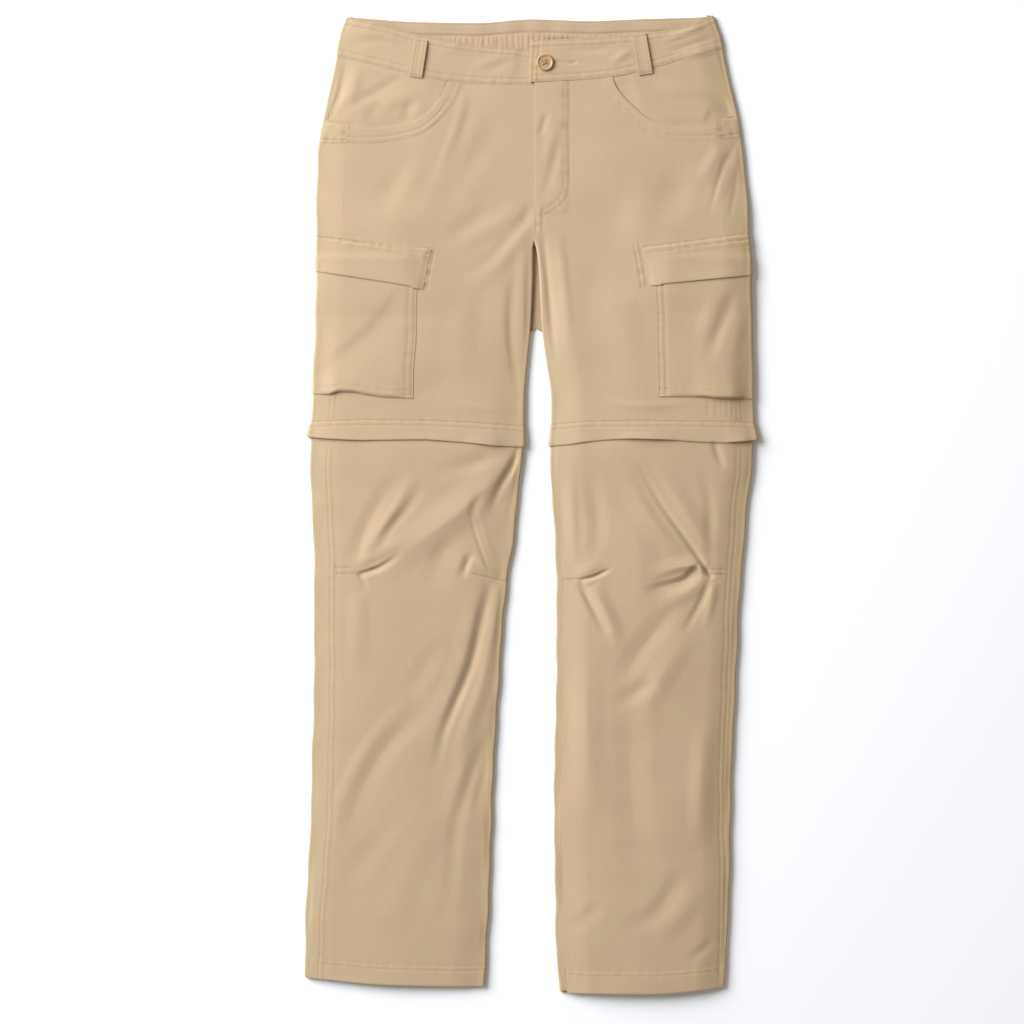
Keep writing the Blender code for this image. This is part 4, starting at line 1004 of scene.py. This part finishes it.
def backLeg(side):
    seam = sideSeam(side)
    trims = [trimAlong(edgeWay(seam, -518, 60), (3, -200), sideLines, bulk=0.08, turned=8, roll=0.05,
                       groove=0.22, pucker=0.07),
             hemTrim(side, -200, 40), *dartTrims(side)]
    backPiece(f"back_leg_{side}", side, lambda s: zipLine(side, 0)(s) - seamGap, hemLine(side),
              spacedShares(edgeSteps, 570, 3.4, np.array([0, 1.4, 4, 9, 14, 17, 19, 21, 23, 25, 28.0])),
              trims,
              seam)


# A band of cloth all round the leg, in around and y; its free edge may stand off
def ringPlaces(side, around, y, share, flare):
    outward = (flare[0] * share, flare[1] * share)
    wide = (innerPlace(side, y) - outline(side, y)) * inward[side] + sum(outward)
    return around * faceRun(wide) / zipReach(side), outward


def aroundSteps(side, spacing):
    over = zipReach(side)
    near = np.array([0, 1.2, 2.4, 3.6, 5.0, 7.0, 9.0])
    half = np.concatenate([near, np.arange(11, over - 10, spacing), over - near[::-1]])
    return np.concatenate([-half[::-1], half[1:]])


def coverBand(side):
    around = aroundSteps(side, 2.4)
    topEdge, lowEdge = kneeEdge(side, "top", around), kneeEdge(side, "low", around)
    down = np.array([0, 0.03, 0.07, 0.12, 0.18, 0.24, 0.30, 0.36, 0.42, 0.5, 0.58, 0.67, 0.76, 0.85, 0.91,
                     0.96, 1.0])
    y = topEdge + down[:, None] * (lowEdge - topEdge)
    over = np.broadcast_to(around, y.shape)
    overTop = ease((around + 2) / 4) * ease((zipReach(side) - around) / 6)
    rise = 0.3 + (readTable(coverEdges[side], "rise", around) - 0.3) * overTop
    topWay = np.stack([around, topEdge], axis=1)
    lowWay = np.stack([around, lowEdge], axis=1)
    trims = [trimAlong(topWay, (60, 80), coverLines, bulk=0.1, turned=8, roll=0.05, groove=0.35, pucker=0.08),
             trimAlong(lowWay, (60, 80), bulk=0.1, turned=5, roll=0.3)]
    waver = 0.25 * overTop * np.sin(over / 13.0 + 2 * np.sin(over / 31.0)) * down[:, None]
    base = layer - 0.5 * (1 - ease(down[:, None] / 0.5)) + rise * down[:, None] ** 1.6 + waver
    sewnReliefShade = sum(trimRelief(trim, over, y) for trim in trims)
    points, facing = [], []
    for k, share in enumerate(down):
        s, outward = ringPlaces(side, around, y[k], share, coverFlare)
        placed, normal = lifted(side, y[k], s, base[k] + sewnReliefShade[k], flare=outward)
        points.append(placed)
        facing.append(normal)
    points, facing = np.array(points), np.array(facing)
    points[:, 0] = points[:, -1] = (points[:, 0] + points[:, -1]) / 2
    piece = clothFrom(f"zip_cover_{side}_cloth", points, facing, grainOf(side, over, y), sewnReliefShade, ring=True)
    bm = bmesh.new()
    for place in coverLines:
        share = place / (topEdge - lowEdge)
        rows = np.clip(np.searchsorted(down, share) - 1, 0, len(down) - 2)
        t = ((share - down[rows]) / (down[rows + 1] - down[rows]))[:, None]
        column = np.arange(len(around))
        path = points[rows, column] * (1 - t) + points[rows + 1, column] * t
        sewPath(bm, path - facing[rows, column] * thread["sink"], facing[rows, column])
    register(piece, f"zip_cover_{side}", points,
             registerSewing(f"zip_cover_{side}_stitching", bm))


def kneeZip(side):
    around = aroundSteps(side, 3.0)
    points, facing = [], []
    edges = np.array([1.0, 0.8, 0.62, 0.5, 0.38, 0.2, 0.0])
    for edge in edges:
        y = zipLine(side, edge)(around)
        s, _ = ringPlaces(side, around, y, 0, (0, 0))
        placed, normal = lifted(side, y, s, np.full(s.shape, -0.15 * abs(edge - 0.5) * 2))
        points.append(placed)
        facing.append(normal)
    points, facing = np.array(points), np.array(facing)
    grain = np.stack([np.broadcast_to(around, points.shape[:2]), points[..., 1]], axis=-1)
    piece = clothFrom(f"knee_zip_{side}_tape", points, facing, grain, 0 * points[..., 0], "zip", ring=True)
    bm = bmesh.new()
    for row in (2, 4):
        path, normals = points[row, 4:-4], facing[row, 4:-4]
        path = path + normals * 0.25
        sewPath(bm, path, normals, pitch=zipSize["pitch"], length=1.9, radius=0.5)
    register(piece, f"knee_zip_{side}", points,
             registerSewing(f"knee_zip_{side}_coil", bm, "coil"))


def between(pair, s, reach):
    return pair[0] + (pair[1] - pair[0]) * np.clip(s / reach, 0, 1)


# The bag's free bottom edge is not straight
bagFoot = {
    "right": curveTable("s drop stand", (-5, 0, 0.4), (0, -0.6, 0.6), (12, -1.0, 1.0), (20, -1.3, 1.3),
                        (26, 0.8, 1.4), (32, 2.5, 1.3), (44, 2.7, 1.0), (60, 0.8, 0.7), (83, -0.9, 0.5),
                        (110, 0, 0.3)),
    "left": curveTable("s drop stand", (-5, 0, 0.5), (0, -1.0, 0.7), (10, -1.1, 1.2), (20, -1.9, 1.5),
                       (30, -2.0, 1.6), (41, -1.9, 1.5), (48, -1.2, 1.3), (55, -0.4, 1.0), (70, 0.1, 0.3),
                       (105, 0, 0.2)),
}
bellows = {"right": 1.7, "left": 2.3}


def bagLow(side, s):
    return between(cargo[side]["bagLow"], s, cargo[side]["front"]) + readTable(bagFoot[side], "drop", s)


def bagBulge(side, y, s):
    pocket = cargo[side]
    low = between(pocket["bagLow"], s, pocket["front"])
    down = np.clip((pocket["bagTop"] - y) / (pocket["bagTop"] - low), 0, 1)
    stand = bellows[side] * readTable(bagFoot[side], "stand", s) * down**2.8
    return stand * ease((s - quarter) / 22) * ease((pocket["front"] - s) / 24)


# s from a cargo pocket's back edge to just past the side fold
cargoTurn = [*np.linspace(cargoBack, -8, 16), -5, -3.6, -2.4, -1.2, 0, 1.2, 2.4, 3.6, 5]


def cargoAcross(side):
    front = cargo[side]["front"]
    return np.concatenate([cargoTurn, np.arange(7, front - 12, 2.3), front - edgeSteps[::-1]])


# Slack in the bag: points along, height and width, in s and y
bagFolds = {
    "right": [([(102, 240), (92, 226), (64, 190), (34, 163), (10, 139)], -0.9, 28, 12, 0.55)],
    "left": [([(20, 236), (30, 206), (42, 178), (52, 152)], -1.3, 12, 10, 0.45),
             ([(38, 232), (48, 204), (58, 178)], 0.9, 13, 13, 0.5),
             ([(10, 226), (16, 190), (24, 160)], 0.7, 11, 11, 0.5)],
}


def slack(rows, s, y):
    return sum(foldHeight(np.array(s, float), np.array(y, float), foldFrom(*row)) for row in rows)


sewnDown = 0.55  # how much nearer the leg a pocket's sewn edges are


def cargoBag(side):
    pocket = cargo[side]
    across = cargoAcross(side)
    low = bagLow(side, across)
    down = np.linspace(0, 1, 60)
    y = pocket["bagTop"] + down[:, None] * (low - pocket["bagTop"])
    y = np.concatenate([y, low - np.array([0.5, 1.0, 1.4])[:, None]])
    s = np.broadcast_to(across, y.shape)
    doubles = {"right": (1.8, 9.0), "left": (1.6, 7.8)}[side]
    front = pocket["front"]
    lowWay = np.stack([across[across > 2], low[across > 2]], axis=1)[::2]
    trims = [trimAlong([(front, pocket["bagTop"]), (front, 200), (front, low[-1] - 1)], (50, 180), doubles,
                       roll=0.05, groove=0.25, pucker=0.08),
             trimAlong(lowWay, (50, 180), (7.2,), bulk=0.1, turned=8, roll=0.2, groove=0.12, pucker=0.06)]
    base = lambda y, s: (layer + bagBulge(side, y, s) + slack(bagFolds[side], s, y)
                         - sewnDown * (1 - ease((front - s) / 16)))
    level = levelWith(base, trims)
    height = level(y, s)
    for k, drop in enumerate((0.45, 0.8, 1.0)):
        height[-3 + k] = layer + (height[-4] - layer) * (1 - drop)
    points, facing = lifted(side, y, s, height)
    sewnReliefShade = np.clip(level(y, s) - base(y, s), -1, 1)
    piece = clothFrom(f"cargo_bag_{side}_cloth", points, facing, grainOf(side, s, y), sewnReliefShade)
    bm = bmesh.new()
    sewTrims(bm, side, trims, level)
    register(piece, f"cargo_bag_{side}", points,
             registerSewing(f"cargo_bag_{side}_stitching", bm))


def cargoFlap(side):
    pocket = cargo[side]
    upper, lower = pocket["flapFront"]
    across = np.concatenate([cargoTurn, np.arange(7, lower - 10, 2.2)])
    near = edgeSteps[::-1]
    down = np.concatenate([[0, 0.018, 0.04, 0.07, 0.11, 0.155, 0.2, 0.24, 0.28, 0.33],
                           np.linspace(0.38, 0.93, 14), [0.96, 0.98, 1.0]])
    columns = np.concatenate([across, upper - near])
    top, low = between(pocket["flapTop"], columns, upper), between(pocket["flapLow"], columns, upper)
    y = top + down[:, None] * (low - top)
    edge = upper + (lower - upper) * (top[-1] - y[:, -1:]) / (top[-1] - low[-1])
    s = np.concatenate([np.broadcast_to(across, (len(down), len(across))), edge - near], axis=1)
    s[:, len(across) - 3:len(across)] = np.minimum(s[:, len(across) - 3:len(across)],
                                                   edge - near[0] - np.array([4.5, 3.0, 1.5]))
    secondLine = {"right": [(4, -1.9), (60, -4.9), (upper - 3, -8.8)],
                  "left": [(4, -8.8), (upper - 4, -9.4)]}[side]
    topAt = lambda at: between(pocket["flapTop"], np.asarray(at, float), upper)
    highest, lowest = pocket["flapTop"][1], pocket["flapLow"][1]
    topWay = [(at, float(topAt(at))) for at in (-70, 4, 40, 80, upper - 1)]
    lowWay = [(at, float(between(pocket["flapLow"], np.array(float(at)), upper)))
              for at in (-70, 4, 40, 80, lower)]
    trims = [
        trimAlong(topWay, (50, 262), (1.7,), roll=0.1, groove=0.35, pucker=0.08),
        trimAlong([(at, float(topAt(at)) + drop) for at, drop in secondLine], (50, 300), (1.2,), bulk=0.35,
                  turned=5, roll=0.2, groove={"right": 0.55, "left": 0.95}[side], pucker=0.12),
        trimAlong(lowWay, (50, 262), bulk=0.1, turned=5, roll=0.25),
        trimAlong([(upper, topAt(upper)), (lower, pocket["flapLow"][1])], (50, 262), roll=0.1),
    ]
    hang = {"right": 0.5, "left": 0.8}[side]

    def base(y, s):
        overBag = ease((pocket["bagTop"] + 12 - y) / 10) * ease((pocket["front"] + 6 - s) / 12)
        near = ease((262 - y) / 20) * ease((s - 2) / 20) * ease((upper - s) / 24)
        inFromEdge = np.minimum(lower + (upper - lower) * (y - lowest) / (highest - lowest) - s, topAt(s) - y)
        down = 0.6 * (1 - ease(inFromEdge / 8)) * (1 - overBag)
        bagLevel = layer - sewnDown * (1 - ease((pocket["front"] - s) / 16)) + bagBulge(side, y, s)
        return 0.95 + bagLevel * overBag + hang * near * (0.7 + 0.3 * np.sin(s / 19.0)) - down

    level = levelWith(base, trims)
    points, facing = lifted(side, y, s, level(y, s))
    piece = clothFrom(f"cargo_flap_{side}_cloth", points, facing, grainOf(side, s, y),
                      level(y, s) - base(y, s))
    bm = bmesh.new()
    sewTrims(bm, side, trims, level)
    register(piece, f"cargo_flap_{side}", points,
             registerSewing(f"cargo_flap_{side}_stitching", bm))


# The cloth inside the hand pocket's opening, sunk under the pocket's edge
def pocketFacing(side):
    scoop, band, tab = scoops[side], bandEdges[side], tabTop[side]
    last = scoop["s"][-1]

    def edge(s):
        pocket = readTable(scoop, "y", np.minimum(s, last))
        return pocket + np.maximum(tab - pocket, 0) * (1 - ease((s - tabEnd[side]) / 12))

    start = lambda y: np.where(y > tab, readTable(hipSeam[side], "s", y) + seamGap / 2, 8)
    top = lambda s: readTable(band, "low", s) - seamGap
    low = lambda s: np.minimum(readTable(scoop, "y", np.minimum(s, last)) - 8, top(s) - 26)
    s, y = gridBetween(start, lambda y: 0 * y + last + 8, top, low,
                       spacedShares(edgeSteps, 100, 2.2, edgeSteps[:8]),
                       spacedShares(edgeSteps, 70, 2.2, edgeSteps[:8]))

    def base(y, s):
        nearLow = 1 - ease((y - edge(s) - 1) / 12)
        nearInner = ease((s - last + 26) / 16) * (0.35 + 0.65 * ease((top(s) - y - 1) / 12))
        covered = np.maximum(ease((edge(s) - y) / 3), ease((s - last + 1) / 3))
        return -np.maximum(openingDepth[side] * np.maximum(nearLow, nearInner), covered)

    hip = edgeWay(lambda y: readTable(hipSeam[side], "s", y), tab + 4, 484)
    panel(f"pocket_facing_{side}", side, s, y, base, [trimAlong(hip, (80, 440), roll=0.05)])


# A front waistband. Past the turn of the side it is flat, so that it may run on over the other half.
def frontBand(side, across, top, low, base, extraTrims, lean=(0, 0)):
    across = np.array(across, float)
    edges = np.array([0, 0.8, 1.6, 2.4, 3.4, 4.6, 5.8, 6.6, 7.4, 8.2, 9.4])
    height, flatFrom = 42.0, 200.0
    down = np.concatenate([edges / height, np.linspace(0.26, 0.74, 13), 1 - edges[::-1] / height])
    y = top(across) + down[:, None] * (low(across) - top(across))
    s = across + (lean[0] + (lean[1] - lean[0]) * down[:, None]) * ease((across - 150) / 66)
    ways = [np.stack([across, edge(across)], axis=1)[::3] for edge in (top, low)]
    trims = [trimAlong(way, (100, 485), bandLines, bulk=0.1, turned=9, roll=0.3, groove=0.25, pucker=0.08)
             for way in ways]
    trims += extraTrims
    level = levelWith(base, trims)

    def placed(y, s, height):
        onHalf = np.minimum(s, flatFrom)
        points, facing = lifted(side, y, onHalf, height)
        points[..., 0] += (s - onHalf) * inward[side]
        return points, facing

    points, facing = placed(y, s, level(y, s))
    piece = clothFrom(f"waistband_front_{side}_cloth", points, facing, grainOf(side, s, y),
                      level(y, s) - base(y, s), wall=1.2)
    bm = bmesh.new()
    for trim in trims:
        for place in trim["stitches"]:
            way = resampled(offsetWay(trim["way"], place * trim["hand"]), 1.0)[2:-1]
            path, normals = placed(way[:, 1], way[:, 0], level(way[:, 1], way[:, 0]) - thread["sink"])
            sewPath(bm, path, normals)
    if side == "left":
        buttonhole(bm, placed, level)
    register(piece, f"waistband_front_{side}", points,
             registerSewing(f"waistband_front_{side}_stitching", bm))


buttonSpot = {"x": 15.2, "y": 480.4, "radius": 9.2, "height": 2.6, "rim": 1.7, "dish": 0.75, "hole": 0.95,
              "holeCircle": 2.6, "turn": 0.3}


# Close stitches across both lips of the buttonhole, from under the button outwards
def buttonhole(bm, placed, level):
    for lip in (-1.15, 1.15):
        for x in np.arange(buttonSpot["x"] + 8.6, 49.5, 0.62):
            s = (readTable(outerEdge, "left", buttonSpot["y"]) - x) - edgeRadius + quarter
            ends = np.array([lip - 0.9, lip + 0.9]) + buttonSpot["y"] + 0.3
            points, facing = placed(ends, np.array([s, s]), level(ends, np.array([s, s])) + 0.1)
            sewPath(bm, points, facing, pitch=1.8, length=2.0, radius=0.34)


def bandSteps(last):
    return [-1, -0.4, 0.3, 1, 1.8, 2.6, 3.4, 4.3, 5.4, *np.arange(7, last - 10, 2.3),
            *(last - edgeSteps[:-1][::-1])]


def frontBands():
    right, left = bandEdges["right"], bandEdges["left"]
    underlap = [*bandSteps(190)[:-1], *np.arange(190, 218, 2.0), *np.arange(218, 227, 0.5),
                *np.arange(227, 247, 2.0)]
    frontBand("right", underlap, lambda s: readTable(right, "top", s) - 1.5 * ease((s - 196) / 12),
              lambda s: readTable(right, "low", s) + 10.0 * ease((s - 223.5) / 2.5),
              lambda y, s: 0.3 - 0.5 * ease((s - 194) / 12), [])
    end = [(208.9, 504.3), (214.5, 481.7), (220.1, 459.1)]
    frontBand("left", bandSteps(216), lambda s: readTable(left, "top", s),
              lambda s: readTable(left, "low", s), lambda y,
              s: 0.45 + 0.75 * ease((s - 160) / 40) - 1.6 * buttonholeDip(y, s),
              [trimAlong(end, (100, 480), (4.4, 8.8), bulk=0.1, turned=9, roll=0.25)],
              lean=(-7.1, 4.1))


# The cut of the buttonhole sinks between its lips
def buttonholeDip(y, s):
    place = (readTable(outerEdge, "left", buttonSpot["y"]) - buttonSpot["x"]) - edgeRadius + quarter
    run = place - s
    return bell(y - buttonSpot["y"] - 0.3, 0.75) * ease((run - 6.5) / 2) * (1 - ease((run - 33) / 1.5))


# Back waistband, its lining up; the elastic in it draws the lining into gathers under its turned top edge
gatherRun = {"from": -114.0, "to": 174.0, "hem": 13.5, "height": 0.45}


def gatherHeight(x, below):
    spots = np.random.RandomState(11)
    height, place = np.zeros(np.broadcast(x, below).shape), gatherRun["from"]
    while place < gatherRun["to"]:
        slant, width, tall = spots.uniform(-0.12, 0.12), spots.uniform(1.2, 2.1), spots.uniform(0.5, 1.0)
        height = height + tall * bell(x - place - slant * (below - 20), width)
        place += spots.uniform(3.4, 7.2)
    return gatherRun["height"] * height


def waistbandBack():
    x = np.arange(-199, 195.5, 0.9)
    down = np.array([0, 0.02, 0.045, 0.08, 0.13, 0.19, 0.25, 0.29, 0.32, 0.345, 0.37, 0.395, 0.42, 0.46, 0.5,
                     0.55, 0.6, 0.66, 0.74, 0.84, 0.95, 1.0])
    ends = np.array([-1.3, -2.0, -2.8, -3.6, -4.6, -6.0, -8.0])
    top = readTable(backBandTop, "top", x)
    y = top + down[:, None] * (backBandLow(x) - top)
    below = top - y
    hem = gatherRun["hem"]
    dart = bell(y - 507.6, 1.2) * ease((x - 12) / 8) * (1 - ease((x - 46) / 8))
    sewnReliefShade = (0.28 * (1 - ease((below - hem + 2) / 2)) - 0.28 * bell(below - hem, 1.0)
              - 0.25 * bell(below - 1.8, 0.9) - 0.3 * np.clip(1 - below / 1.2, 0, 1) ** 2 - 0.7 * dart)
    gathered = gatherHeight(x, below) * ease((below - hem - 0.5) / 4) * (1 - 0.5 * ease((below - 26) / 10))
    ripple = 0.22 * np.sin(x / 6.5 + 2 * np.sin(x / 37)) * (1 - ease((below - hem) / 2))
    edge = ease((x + 199) / 10) * ease((194 - x) / 10)
    z = 1.6 + edge * (sewnReliefShade + gathered + ripple)
    points, facing = [np.stack([np.broadcast_to(x, y.shape), y, z], axis=-1)], [upright((*y.shape, 3))]
    grooveShadeMask = [sewnReliefShade]
    for side in ("right", "left"):
        edges = bandEdges[side]
        rows = edges["top"][0] + down * (edges["low"][0] - edges["top"][0])
        placed, normal = lifted(side, rows[:, None] + 0 * ends, ends + 0 * rows[:, None],
                                0 * rows[:, None] + 0 * ends)
        placed = placed - normal * 1.3
        if side == "right":
            points, facing = [placed, *points], [-normal, *facing]
        else:
            points, facing = [*points, placed[:, ::-1]], [*facing, -normal[:, ::-1]]
        grooveShadeMask = [np.zeros(placed.shape[:2]), *grooveShadeMask] if side == "right" else [*grooveShadeMask, np.zeros(placed.shape[:2])]
    points, facing, grooveShadeMask = (np.concatenate(parts, axis=1) for parts in (points, facing, grooveShadeMask))
    grain = points[..., :2]
    piece = clothFrom("waistband_back_cloth", points, facing, grain, grooveShadeMask, "lining", wall=1.1)
    bm = bmesh.new()
    for drop in (1.8, hem):
        row = np.argmin(np.abs(down * float(np.mean(top - backBandLow(x))) - drop))
        sewPath(bm, points[row, 8:-8], facing[row, 8:-8])
    register(piece, "waistband_back", points,
             registerSewing("waistband_back_stitching", bm))


loops = {
    "right": {"top": (-119.3, 506.0), "low": (-125.6, 464.8), "width": 14.0, "bow": 1.2},
    "left": {"top": (117.0, 511.0), "low": (124.5, 467.5), "width": 15.5, "bow": 1.2},
}


def frontHeight(side, x, y):
    x, y = np.broadcast_arrays(np.asarray(x, float), np.asarray(y, float))
    s = (x - outline(side, y)) * inward[side] - edgeRadius + quarter
    return sectionPoint(side, y, s)[..., 2]


def beltLoop(side):
    loop = loops[side]
    rows = np.concatenate([[0, 0.02, 0.045, 0.07], np.linspace(0.1, 0.9, 25), [0.93, 0.955, 0.98, 1.0]])
    half = loop["width"] / 2
    across = np.concatenate([-half + np.array([0, 0.7, 1.4, 2.0, 2.7]), np.linspace(-3.6, 3.6, 7),
                             half - np.array([2.7, 2.0, 1.4, 0.7, 0])])
    (x0, y0), (x1, y1) = loop["top"], loop["low"]
    x = x0 + (x1 - x0) * rows[:, None] + across
    y = y0 + (y1 - y0) * rows[:, None] - across * (x1 - x0) / (y1 - y0)
    stand = loop["bow"] * np.sin(math.pi * rows) ** 0.6
    edge = np.abs(across) - half
    sewnReliefShade = (0.2 * (1 - ease((-edge - 4) / 1.5)) - 0.15 * np.clip(1 + edge / 1.2, 0, 1) ** 2
              - 0.2 * bell(edge + 2.7, 0.8))
    sewnReliefShade = sewnReliefShade + 0 * rows[:, None]
    length = 41  # between its two bars of close stitching
    for sewn in (2.0 / length, 1 - 2.0 / length):
        sewnReliefShade = sewnReliefShade - 0.3 * bell((rows[:, None] - sewn) * length, 0.9)
    z = frontHeight(side, x, y) + 1.35 + stand[:, None] + sewnReliefShade
    points = np.stack([x, y, z], axis=-1)
    facing = upright(points.shape)
    grain = np.stack([across + 0 * x, y], axis=-1)
    piece = clothFrom(f"belt_loop_{side}_cloth", points, facing, grain, sewnReliefShade)
    bm = bmesh.new()
    for column in (4, len(across) - 5):
        sewPath(bm, points[2:-2, column], facing[2:-2, column])
    for row in (2, len(rows) - 3):
        sewPath(bm, points[row, 1:-1], facing[row, 1:-1], pitch=1.1, length=2.0)
    register(piece, f"belt_loop_{side}", points,
             registerSewing(f"belt_loop_{side}_stitching", bm))


# The closed zip behind the fly
def flyZip():
    across, along = np.linspace(-11, 14, 12), np.linspace(446, 325, 50)
    x, y = np.meshgrid(garment["centreFront"] + across, along)
    z = frontHeight("right", np.minimum(x, garment["centreFront"]), y) - layer - 0.1
    points = np.stack([x, y, z], axis=-1)
    facing = upright(points.shape)
    piece = clothFrom("fly_zip_tape", points, facing, points[..., :2], 0 * z, "zip")
    bm = bmesh.new()
    for shift, start in ((-1.1, 0), (0.9, 1)):
        path = np.stack([0 * along + garment["centreFront"] + shift, along + start,
                         np.interp(along, along[::-1], z[::-1, 5]) + 0.2], axis=-1)
        sewPath(bm, path[1:-1], upright(path[1:-1].shape), pitch=2.6, length=1.9, radius=0.45)
    register(piece, "fly_zip", points,
             registerSewing("fly_zip_coil", bm, "coil"))


# Four-hole button: a turned profile with a rolled rim, then the holes are cut and the thread crosses them
def trouserButton():
    b = buttonSpot
    foot = float(frontHeight("left", b["x"], b["y"])) + 1.15
    top, rim, r = b["height"], b["rim"], b["radius"]
    dish = top - b["dish"]
    profile = [(0.01, 0), (r - 1.4, 0), (r - 0.5, 0.4), (r, 1.2), (r - 0.05, 1.8), (r - 0.45, 2.4),
               (r - 0.95, top), (r - rim + 0.2, top - 0.04), (r - rim - 0.3, top - 0.3),
               (r - rim - 0.8, dish + 0.08),
               (r - rim - 1.6, dish), (3.9, dish - 0.05), (0.01, dish - 0.05)]
    bm = bmesh.new()
    line = [bm.verts.new((radius * mm, 0, height * mm)) for radius, height in profile]
    edges = [bm.edges.new(pair) for pair in zip(line, line[1:])]
    bmesh.ops.spin(bm, geom=line + edges, cent=(0, 0, 0), axis=(0, 0, 1), angle=2 * math.pi, steps=64,
                   use_merge=True)
    bmesh.ops.remove_doubles(bm, verts=bm.verts, dist=2e-5)
    bmesh.ops.recalc_face_normals(bm, faces=bm.faces)
    bmesh.ops.translate(bm, verts=bm.verts, vec=(b["x"] * mm, b["y"] * mm, foot * mm))
    blank = putInScene("trouser_button", bm, "button")
    drills = []
    spots = []
    for k in range(4):
        angle = math.pi / 4 + b["turn"] + k * math.pi / 2
        spots.append((b["x"] + b["holeCircle"] * math.cos(angle), b["y"] + b["holeCircle"] * math.sin(angle)))
        bm = bmesh.new()
        bmesh.ops.create_cone(bm, cap_ends=True, segments=20, radius1=b["hole"] * mm, radius2=b["hole"] * mm,
                              depth=8 * mm)
        bmesh.ops.translate(bm, verts=bm.verts, vec=(spots[-1][0] * mm, spots[-1][1] * mm, foot * mm))
        drills.append(putInScene(f"drill_{k}", bm, "button"))
        cut = blank.modifiers.new(f"hole_{k}", "BOOLEAN")
        cut.operation = "DIFFERENCE"
        cut.object = drills[-1]
    drilled = bpy.data.meshes.new_from_object(blank.evaluated_get(bpy.context.evaluated_depsgraph_get()))
    blank.modifiers.clear()
    blank.data = drilled
    for drill in drills:
        bpy.data.objects.remove(drill)
    edgesOf = blank.modifiers.new("handled edges", "BEVEL")
    edgesOf.width = 0.12 * mm
    edgesOf.segments = 2
    edgesOf.limit_method = "ANGLE"
    edgesOf.angle_limit = math.radians(40)
    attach(blank, "root")
    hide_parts("button")
    bm = bmesh.new()
    for one, other in ((0, 2), (1, 3)):
        for shift in (-0.28, 0.28):
            a, c = np.array(spots[one]), np.array(spots[other])
            run = (c - a) / np.linalg.norm(c - a)
            across = np.array([-run[1], run[0]]) * shift
            reach = np.linspace(-0.25, np.linalg.norm(c - a) + 0.25, 8)
            rise = np.minimum(1, np.minimum(reach + 0.4, reach[::-1] + 0.4) / 0.8)
            path = np.stack([a[0] + across[0] + run[0] * reach, a[1] + across[1] + run[1] * reach,
                             foot + dish - 0.5 + 0.75 * rise + 0.12 * (one == 1)], axis=-1)
            sewPath(bm, path, upright(path.shape), pitch=1.0, length=1.35, radius=0.24)
    sewn = putInScene("button_thread", bm, "thread")
    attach(sewn, "root")


for side in inward:
    frontThigh(side)
    backThigh(side)
    pocketFacing(side)
    print("thigh", side)
    kneeZip(side)
    coverBand(side)
    frontLeg(side)
    backLeg(side)
    print("leg", side)
    cargoBag(side)
    cargoFlap(side)
    print("cargo pocket", side)
frontBands()
waistbandBack()
for side in inward:
    beltLoop(side)
flyZip()
trouserButton()
print("waist")


# White studio table, wide enough that its edge never shows
def studio():
    bm = bmesh.new()
    bmesh.ops.create_grid(bm, x_segments=2, y_segments=2, size=6)
    bmesh.ops.translate(bm, verts=bm.verts, vec=(0, 0, -0.0004))
    mesh = bpy.data.meshes.new("studio_table")
    bm.to_mesh(mesh)
    bm.free()
    table = linked("studio_table", mesh)
    made, _, shader = startMaterial("mattWhitePaint", 0.9, Specular_IOR_Level=0.1)
    shader.inputs["Base Color"].default_value = hexColour("#F9FCFF")
    mesh.materials.append(made)


lights = {
    "key": {"from": (-3.3, 2.0, 2.05), "size": 3.6, "power": 440.0, "colour": "#F6F9FF"},
    "sky": {"colour": "#FFF4E8", "strength": 0.335},
}


def light():
    aim = Vector((-0.02, 0.0, 0.0))
    key = lights["key"]
    data = bpy.data.lights.new("key_softbox", "AREA")
    data.shape = "DISK"
    data.size = key["size"]
    data.energy = key["power"]
    data.color = hexColour(key["colour"])[:3]
    lamp = linked("key_softbox", data)
    lamp.location = key["from"]
    lamp.rotation_euler = (aim - Vector(key["from"])).to_track_quat("-Z", "Y").to_euler()
    world = bpy.data.worlds.new("studio_fill")
    world.use_nodes = True
    back = world.node_tree.nodes["Background"]
    back.inputs["Color"].default_value = hexColour(lights["sky"]["colour"])
    back.inputs["Strength"].default_value = lights["sky"]["strength"]
    bpy.context.scene.world = world
    bpy.context.scene.view_settings.view_transform = "Standard"


# Straight above the trousers, as the photograph was taken
camera = {"over": (-20.7, -8.2), "lens": 100.0, "sensor": 36.0, "height": 3101.0}


def placeCamera():
    data = bpy.data.cameras.new("copy_stand")
    data.lens = camera["lens"]
    data.sensor_width = camera["sensor"]
    data.clip_end = 20
    stand = linked("copy_stand", data)
    stand.location = (camera["over"][0] * mm, camera["over"][1] * mm, camera["height"] * mm)
    bpy.context.scene.camera = stand


studio()
light()
placeCamera()
print("studio")
for node, cut in sorted(cuts.items()):
    print("cut", node, *cut)
